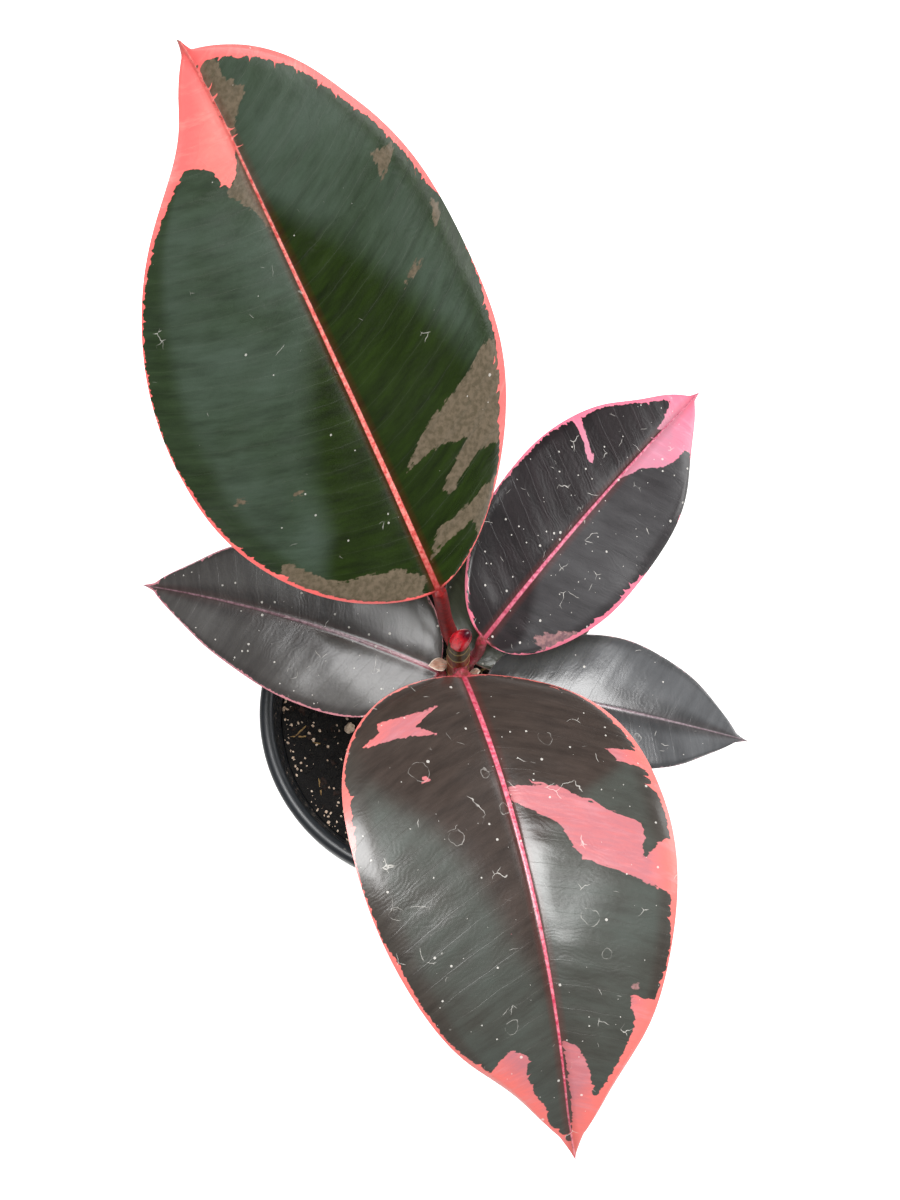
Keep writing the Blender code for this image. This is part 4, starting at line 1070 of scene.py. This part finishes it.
def pot_profile():
    """The shell's outline from the middle of its inner floor, over the lip, to its underside."""
    hub = 0.004
    inner_top = wall_radius(POT_HEIGHT) - WALL
    crown = (RIM_RADIUS - inner_top) / 2
    centre = (inner_top + crown, POT_HEIGHT - crown)

    # Inside: the floor, the wall, and a ledge where stacked pots rest on each other.
    inner_floor = (wall_radius(FLOOR) - WALL, FLOOR)
    step = 0.72 * POT_HEIGHT
    ledge = wall_radius(step) - WALL
    profile = [(0.0, FLOOR)] + run((hub, FLOOR), inner_floor, 6)
    profile += run(inner_floor, (ledge, step), 10)
    profile += run((ledge + 0.0002, step + 0.0006), (inner_top, centre[1]), 8)

    # The rolled lip: over its crown, down its skirt, round the skirt's edge and up inside it.
    corner, inner_corner = 0.0005, 0.0004
    lip_foot = POT_HEIGHT - LIP_HEIGHT
    profile += arc(centre, crown, 180, 0, 20)
    profile += run((RIM_RADIUS, centre[1] - 0.0006), (RIM_RADIUS, lip_foot + 0.0006), 4)
    profile += arc((RIM_RADIUS - corner, lip_foot + corner), corner, 0, -90, 4)
    profile += arc((RIM_RADIUS - WALL + inner_corner, lip_foot + inner_corner), inner_corner,
                   -90, -180, 3)
    profile += arc(centre, crown - WALL, 0, 150, 12)

    # Outside: the wall, a fine step above the base, its rounded edge and the underside.
    base_step = 0.012
    under = (wall_radius(lip_foot - 0.004), lip_foot - 0.004)
    profile += run((wall_radius(POT_HEIGHT - 0.003) + 0.0002, POT_HEIGHT - 0.0045), under, 4)
    profile += run(under, (wall_radius(base_step) + 0.0004, base_step), 14)
    profile += run((wall_radius(base_step - 0.0006), base_step - 0.0006),
                   (wall_radius(BASE_EDGE), BASE_EDGE), 3)
    profile += arc((BASE_RADIUS - BASE_EDGE, BASE_EDGE), BASE_EDGE, 0, -90, 8)
    profile += run((BASE_RADIUS - BASE_EDGE - 0.003, 0.0), (hub, 0.0), 6)
    return profile + [(0.0, 0.0)]


def nursery_pot():
    """A thin tapered shell with a rolled lip, a stacking ledge inside and drain holes."""
    made = skin("black_nursery_pot", turned(pot_profile(), 180))
    for index in range(DRAIN_HOLES):
        spot = level(360 * index / DRAIN_HOLES) * DRAIN_CIRCLE
        bpy.ops.object.select_all(action="DESELECT")
        bpy.ops.mesh.primitive_cylinder_add(vertices=40, radius=DRAIN_RADIUS, depth=4 * FLOOR,
                                            location=spot)
        cutter = bpy.context.object
        cut = made.modifiers.new("drain", "BOOLEAN")
        cut.object = cutter
        bpy.context.view_layer.objects.active = made
        bpy.ops.object.modifier_apply(modifier=cut.name)
        bpy.data.objects.remove(cutter)
    dress(made, pot_plastic(), "pot_plastic", "nursery_pot")


# ---------------------------------------------------------------- potting mix
def soil_height(x, y):
    """Relief of the potting mix: lumps of several sizes, lower beside the wall."""
    spot = Vector((x, y, 0.3))
    lumps = noise.noise(spot * 190) * 0.9 + noise.noise(spot * 420) * 0.6
    lumps += noise.noise(spot * 900) * 0.4
    return SOIL_TOP - 0.0006 + lumps * MM - 1.5 * MM * max(math.hypot(x, y) / 0.052, 0) ** 8


def potting_mix():
    """The plug of peat in the pot, with a crumbly top."""
    rings, around = 84, 260
    top = wall_radius(SOIL_TOP) - WALL - GAP
    bottom = FLOOR + GAP
    profile = [(top * i / rings, SOIL_TOP) for i in range(rings + 1)]
    profile += run((wall_radius(SOIL_TOP - 0.004) - WALL - GAP, SOIL_TOP - 0.004),
                   (wall_radius(bottom) - WALL - GAP, bottom), 10)
    profile += [(wall_radius(bottom) - WALL - GAP, bottom), (0.02, bottom), (0.0, bottom)]
    places = turned(profile, around)
    for row in range(rings + 1):
        for column in range(around):
            x, y, _ = places[row, column]
            places[row, column, 2] = soil_height(x, y)
        places[row, around] = places[row, 0]
    places[0] = places[0, 0]
    finish = crumbly("moist_peat", "#010000", "#080403", "#23160e", 0.7, 0.97, 0.35)
    dress(skin("crumbly_potting_mix", places), finish, "peat_mix", "potting_soil")


def grain_places(roughness, chance, fineness):
    """One rough grain as unit vertices and faces."""
    bpy.ops.object.select_all(action="DESELECT")
    bpy.ops.mesh.primitive_ico_sphere_add(subdivisions=fineness, radius=1.0)
    made = bpy.context.object
    for vertex in made.data.vertices:
        vertex.co *= 1 + roughness * (chance.uniform(-0.5, 0.5) + noise.noise(vertex.co * 1.3))
    corners = np.array([vertex.co for vertex in made.data.vertices])
    sides = [tuple(face.vertices) for face in made.data.polygons]
    bpy.data.objects.remove(made)
    return corners, sides


def scattered(name, count, sizes, flatness, roughness, finish, slot, seed, sunk=0.4, long=1.0,
              off_wall=0.0022, band=0.05):
    """Many small pieces on a band of the potting mix along the wall, joined in one object."""
    chance = random.Random(seed)
    forms = [grain_places(roughness, chance, 1 if count > 150 else 2) for _ in range(5)]
    outer = wall_radius(SOIL_TOP) - WALL - off_wall
    inner = max(STEM_RADIUS + 0.001, outer - band)
    points, faces = [], []
    for _ in range(count):
        corners, sides = forms[chance.randrange(len(forms))]
        size = chance.uniform(*sizes)
        turn = np.array(Matrix.Rotation(chance.uniform(0, 6.3), 3, "Z")
                        @ Matrix.Rotation(chance.gauss(0, 0.35), 3, "X"))
        stretch = np.array((size * long, size * chance.uniform(0.6, 1.0), size * flatness))
        away = math.sqrt(chance.uniform(inner ** 2, (outer - size * 0.6) ** 2))
        spot = level(chance.uniform(0, 360)) * away
        spot[2] = soil_height(spot[0], spot[1]) + size * flatness * (1 - 2 * sunk)
        start = len(points)
        points.extend((corners * stretch) @ turn.T + spot)
        faces.extend(tuple(start + i for i in side) for side in sides)
    mesh = bpy.data.meshes.new(name)
    mesh.from_pydata([tuple(point) for point in points], [], faces)
    made = bpy.data.objects.new(name, mesh)
    bpy.context.scene.collection.objects.link(made)
    bpy.ops.object.select_all(action="DESELECT")
    made.select_set(True)
    bpy.context.view_layer.objects.active = made
    bpy.ops.object.shade_smooth_by_angle(angle=math.radians(35))
    dress(made, finish, slot)


def fine_grain(name, node, roughness, seed, finish, slot):
    """One larger piece of the mix, in the box of its own node."""
    chance = random.Random(seed)
    bpy.ops.object.select_all(action="DESELECT")
    bpy.ops.mesh.primitive_ico_sphere_add(subdivisions=4, radius=1.0)
    made = bpy.context.object
    made.name = name
    shift = Vector((chance.uniform(0, 40), chance.uniform(0, 40), seed))
    for vertex in made.data.vertices:
        rough = noise.noise(vertex.co * 1.6 + shift) + 0.4 * noise.noise(vertex.co * 4 + shift)
        vertex.co *= 1 + roughness * rough
    corners = np.array([[vertex.co for vertex in made.data.vertices]])
    made.data.vertices.foreach_set("co", fitted(corners, node).ravel())
    bpy.ops.object.shade_smooth_by_angle(angle=math.radians(40))
    dress(made, finish, slot, node)


def dry_fibre(name, node, finish):
    """A length of straw, bent aside and thinner at its ends, across the box of its own node."""
    low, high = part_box(node)
    share = np.linspace(-1, 1, 60)
    angles = np.linspace(0, 2 * math.pi, 15)
    line = np.array((low + high) / 2) + np.stack(
        (share * (high.x - low.x) / 2, share * (high.y - low.y) / 2, 0 * share), axis=-1)
    ahead = np.array((high.x - low.x, high.y - low.y, 0.0))
    aside = np.array((-ahead[1], ahead[0], 0.0)) / np.linalg.norm(ahead)
    line = line + aside * (0.0012 * (share ** 2 - 0.5))[:, None]
    radius = TWIG_RADIUS * (1 - 0.3 * np.abs(share) ** 3 + 0.08 * np.sin(share * 23))
    radius[[0, -1]] = 0
    ring = aside * np.cos(angles)[:, None] + np.array((0, 0, 1)) * np.sin(angles)[:, None]
    places = line[:, None, :] + radius[:, None, None] * ring
    dress(skin(name, places), finish, "straw", node)


def loose_pieces():
    """What lies on the mix: the model's own grains, chips and straw, and finer crumbs."""
    perlite = crumbly("expanded_perlite", "#a5856f", "#ead6c2", "#6d4c3a", 0.35, 0.92, 0.10)
    bark = crumbly("pine_bark", "#0a0403", "#2e170c", "#5d3a26", 0.8, 0.88, 0.25)
    straw = crumbly("dry_fibre", "#5b4226", "#a58553", "#3a2818", 0.5, 0.8, 0.05)
    for index in range(1, 13):
        fine_grain(f"perlite_grain_{index}", f"perlite_{index}", 0.28, index, perlite, "perlite")
    for index in range(1, 7):
        fine_grain(f"bark_flake_{index}", f"bark_chip_{index}", 0.4, index + 20, bark, "bark")
    for index in range(1, 4):
        dry_fibre(f"dry_fibre_{index}", f"twig_{index}", straw)
    peat = crumbly("peat_crumbs", "#020101", "#0e0805", "#33221a", 0.6, 0.97, 0.2)
    scattered("peat_crumbs", 1500, (0.0005, 0.0015), 0.8, 0.5, peat, "peat_mix", 3)
    scattered("perlite_crumbs", 520, (0.0001, 0.0008), 0.8, 0.4, perlite, "perlite", 4, 0.25)
    scattered("bark_crumbs", 260, (0.0005, 0.0016), 0.5, 0.7, bark, "bark", 5, 0.2)
    scattered("wall_crumbs", 300, (0.0001, 0.0008), 0.9, 0.4, perlite, "perlite", 7, 0.1,
              off_wall=0.0004, band=0.003)
    scattered("fibre_crumbs", 45, (0.0003, 0.0005), 0.9, 0.3, straw, "straw", 6, 0.1, 8.0)


# ---------------------------------------------------------------- studio
def pale_floor():
    """Matt white paper, which glows a little to the camera so that it stays white."""
    bpy.ops.object.select_all(action="DESELECT")
    bpy.ops.mesh.primitive_plane_add(size=8.0)
    floor = bpy.context.object
    floor.name = "pale_floor"
    paper, tree = new_material("matt_white_paper")
    place = add(tree, "TexCoord", out="Object")
    fibre = add(tree, "TexNoise", {"Vector": place, "Scale": 300.0, "Detail": 4.0})
    tone = add(tree, "Mix", {0: fibre, 6: srgb("#f1f0ee"), 7: srgb("#f6f5f3")}, **BLEND)
    seen = add(tree, "LightPath", out="Is Camera Ray")
    glow = add(tree, "Math", {0: seen, 1: 0.6}, operation="MULTIPLY")
    shader = add(tree, "BsdfPrincipled", {"Base Color": tone, "Roughness": 0.9,
                                          "Emission Color": srgb("#ffffff"),
                                          "Emission Strength": glow})
    add(tree, "OutputMaterial", {"Surface": shader})
    floor.data.materials.append(paper)


def white_room():
    """Dim cool light from all round; to the camera the room is plain white."""
    world = bpy.data.worlds.new("soft_room")
    bpy.context.scene.world = world
    world.use_nodes = True
    room = world.node_tree
    room.nodes.clear()
    seen = add(room, "LightPath", out="Is Camera Ray")
    dim = add(room, "Background", {"Color": srgb("#d5d8dc"), "Strength": 0.28})
    white = add(room, "Background", {"Color": srgb("#ffffff"), "Strength": 1.0})
    both = add(room, "MixShader", {0: seen, 1: dim, 2: white})
    add(room, "OutputWorld", {"Surface": both})


def soft_boxes():
    """A large soft light overhead and a lower one to the right, aimed at the plant."""
    for name, spot, size, power in (("overhead_softbox", (0.0, 0.0, 1.9), 1.0, 48),
                                    ("right_softbox", (2.3, 0.7, 0.5), 1.7, 34)):
        bpy.ops.object.light_add(type="AREA", location=spot)
        light = bpy.context.object
        light.name = name
        light.data.size = size
        light.data.energy = power
        aim = Vector((0, 0, 0.15)) - Vector(spot)
        light.rotation_euler = aim.to_track_quat("-Z", "Y").to_euler()


def camera_above():
    """The camera looks down 76 degrees from 0.6 m above the pot's rim."""
    distance, shift_up, shift_right = 0.600, 0.0372, 0.0059
    tilt = math.radians(14)
    low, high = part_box("nursery_pot")
    rim = Vector(((low.x + high.x) / 2, (low.y + high.y) / 2, high.z))
    look = Vector((0, math.sin(tilt), -math.cos(tilt)))
    above = Vector((0, math.cos(tilt), math.sin(tilt)))
    spot = rim - look * distance + above * shift_up + Vector((shift_right, 0, 0))
    bpy.ops.object.camera_add(location=spot, rotation=(tilt, 0, 0))
    camera = bpy.context.object
    camera.data.sensor_width = 24
    camera.data.lens = 34.8
    bpy.context.scene.camera = camera
    bpy.context.scene.view_settings.view_transform = "Standard"


pale_floor()
white_room()
soft_boxes()
camera_above()
nursery_pot()
potting_mix()
loose_pieces()
leafy_stem()
crimson_bud()
dry_sheaths()
grow_leaves()
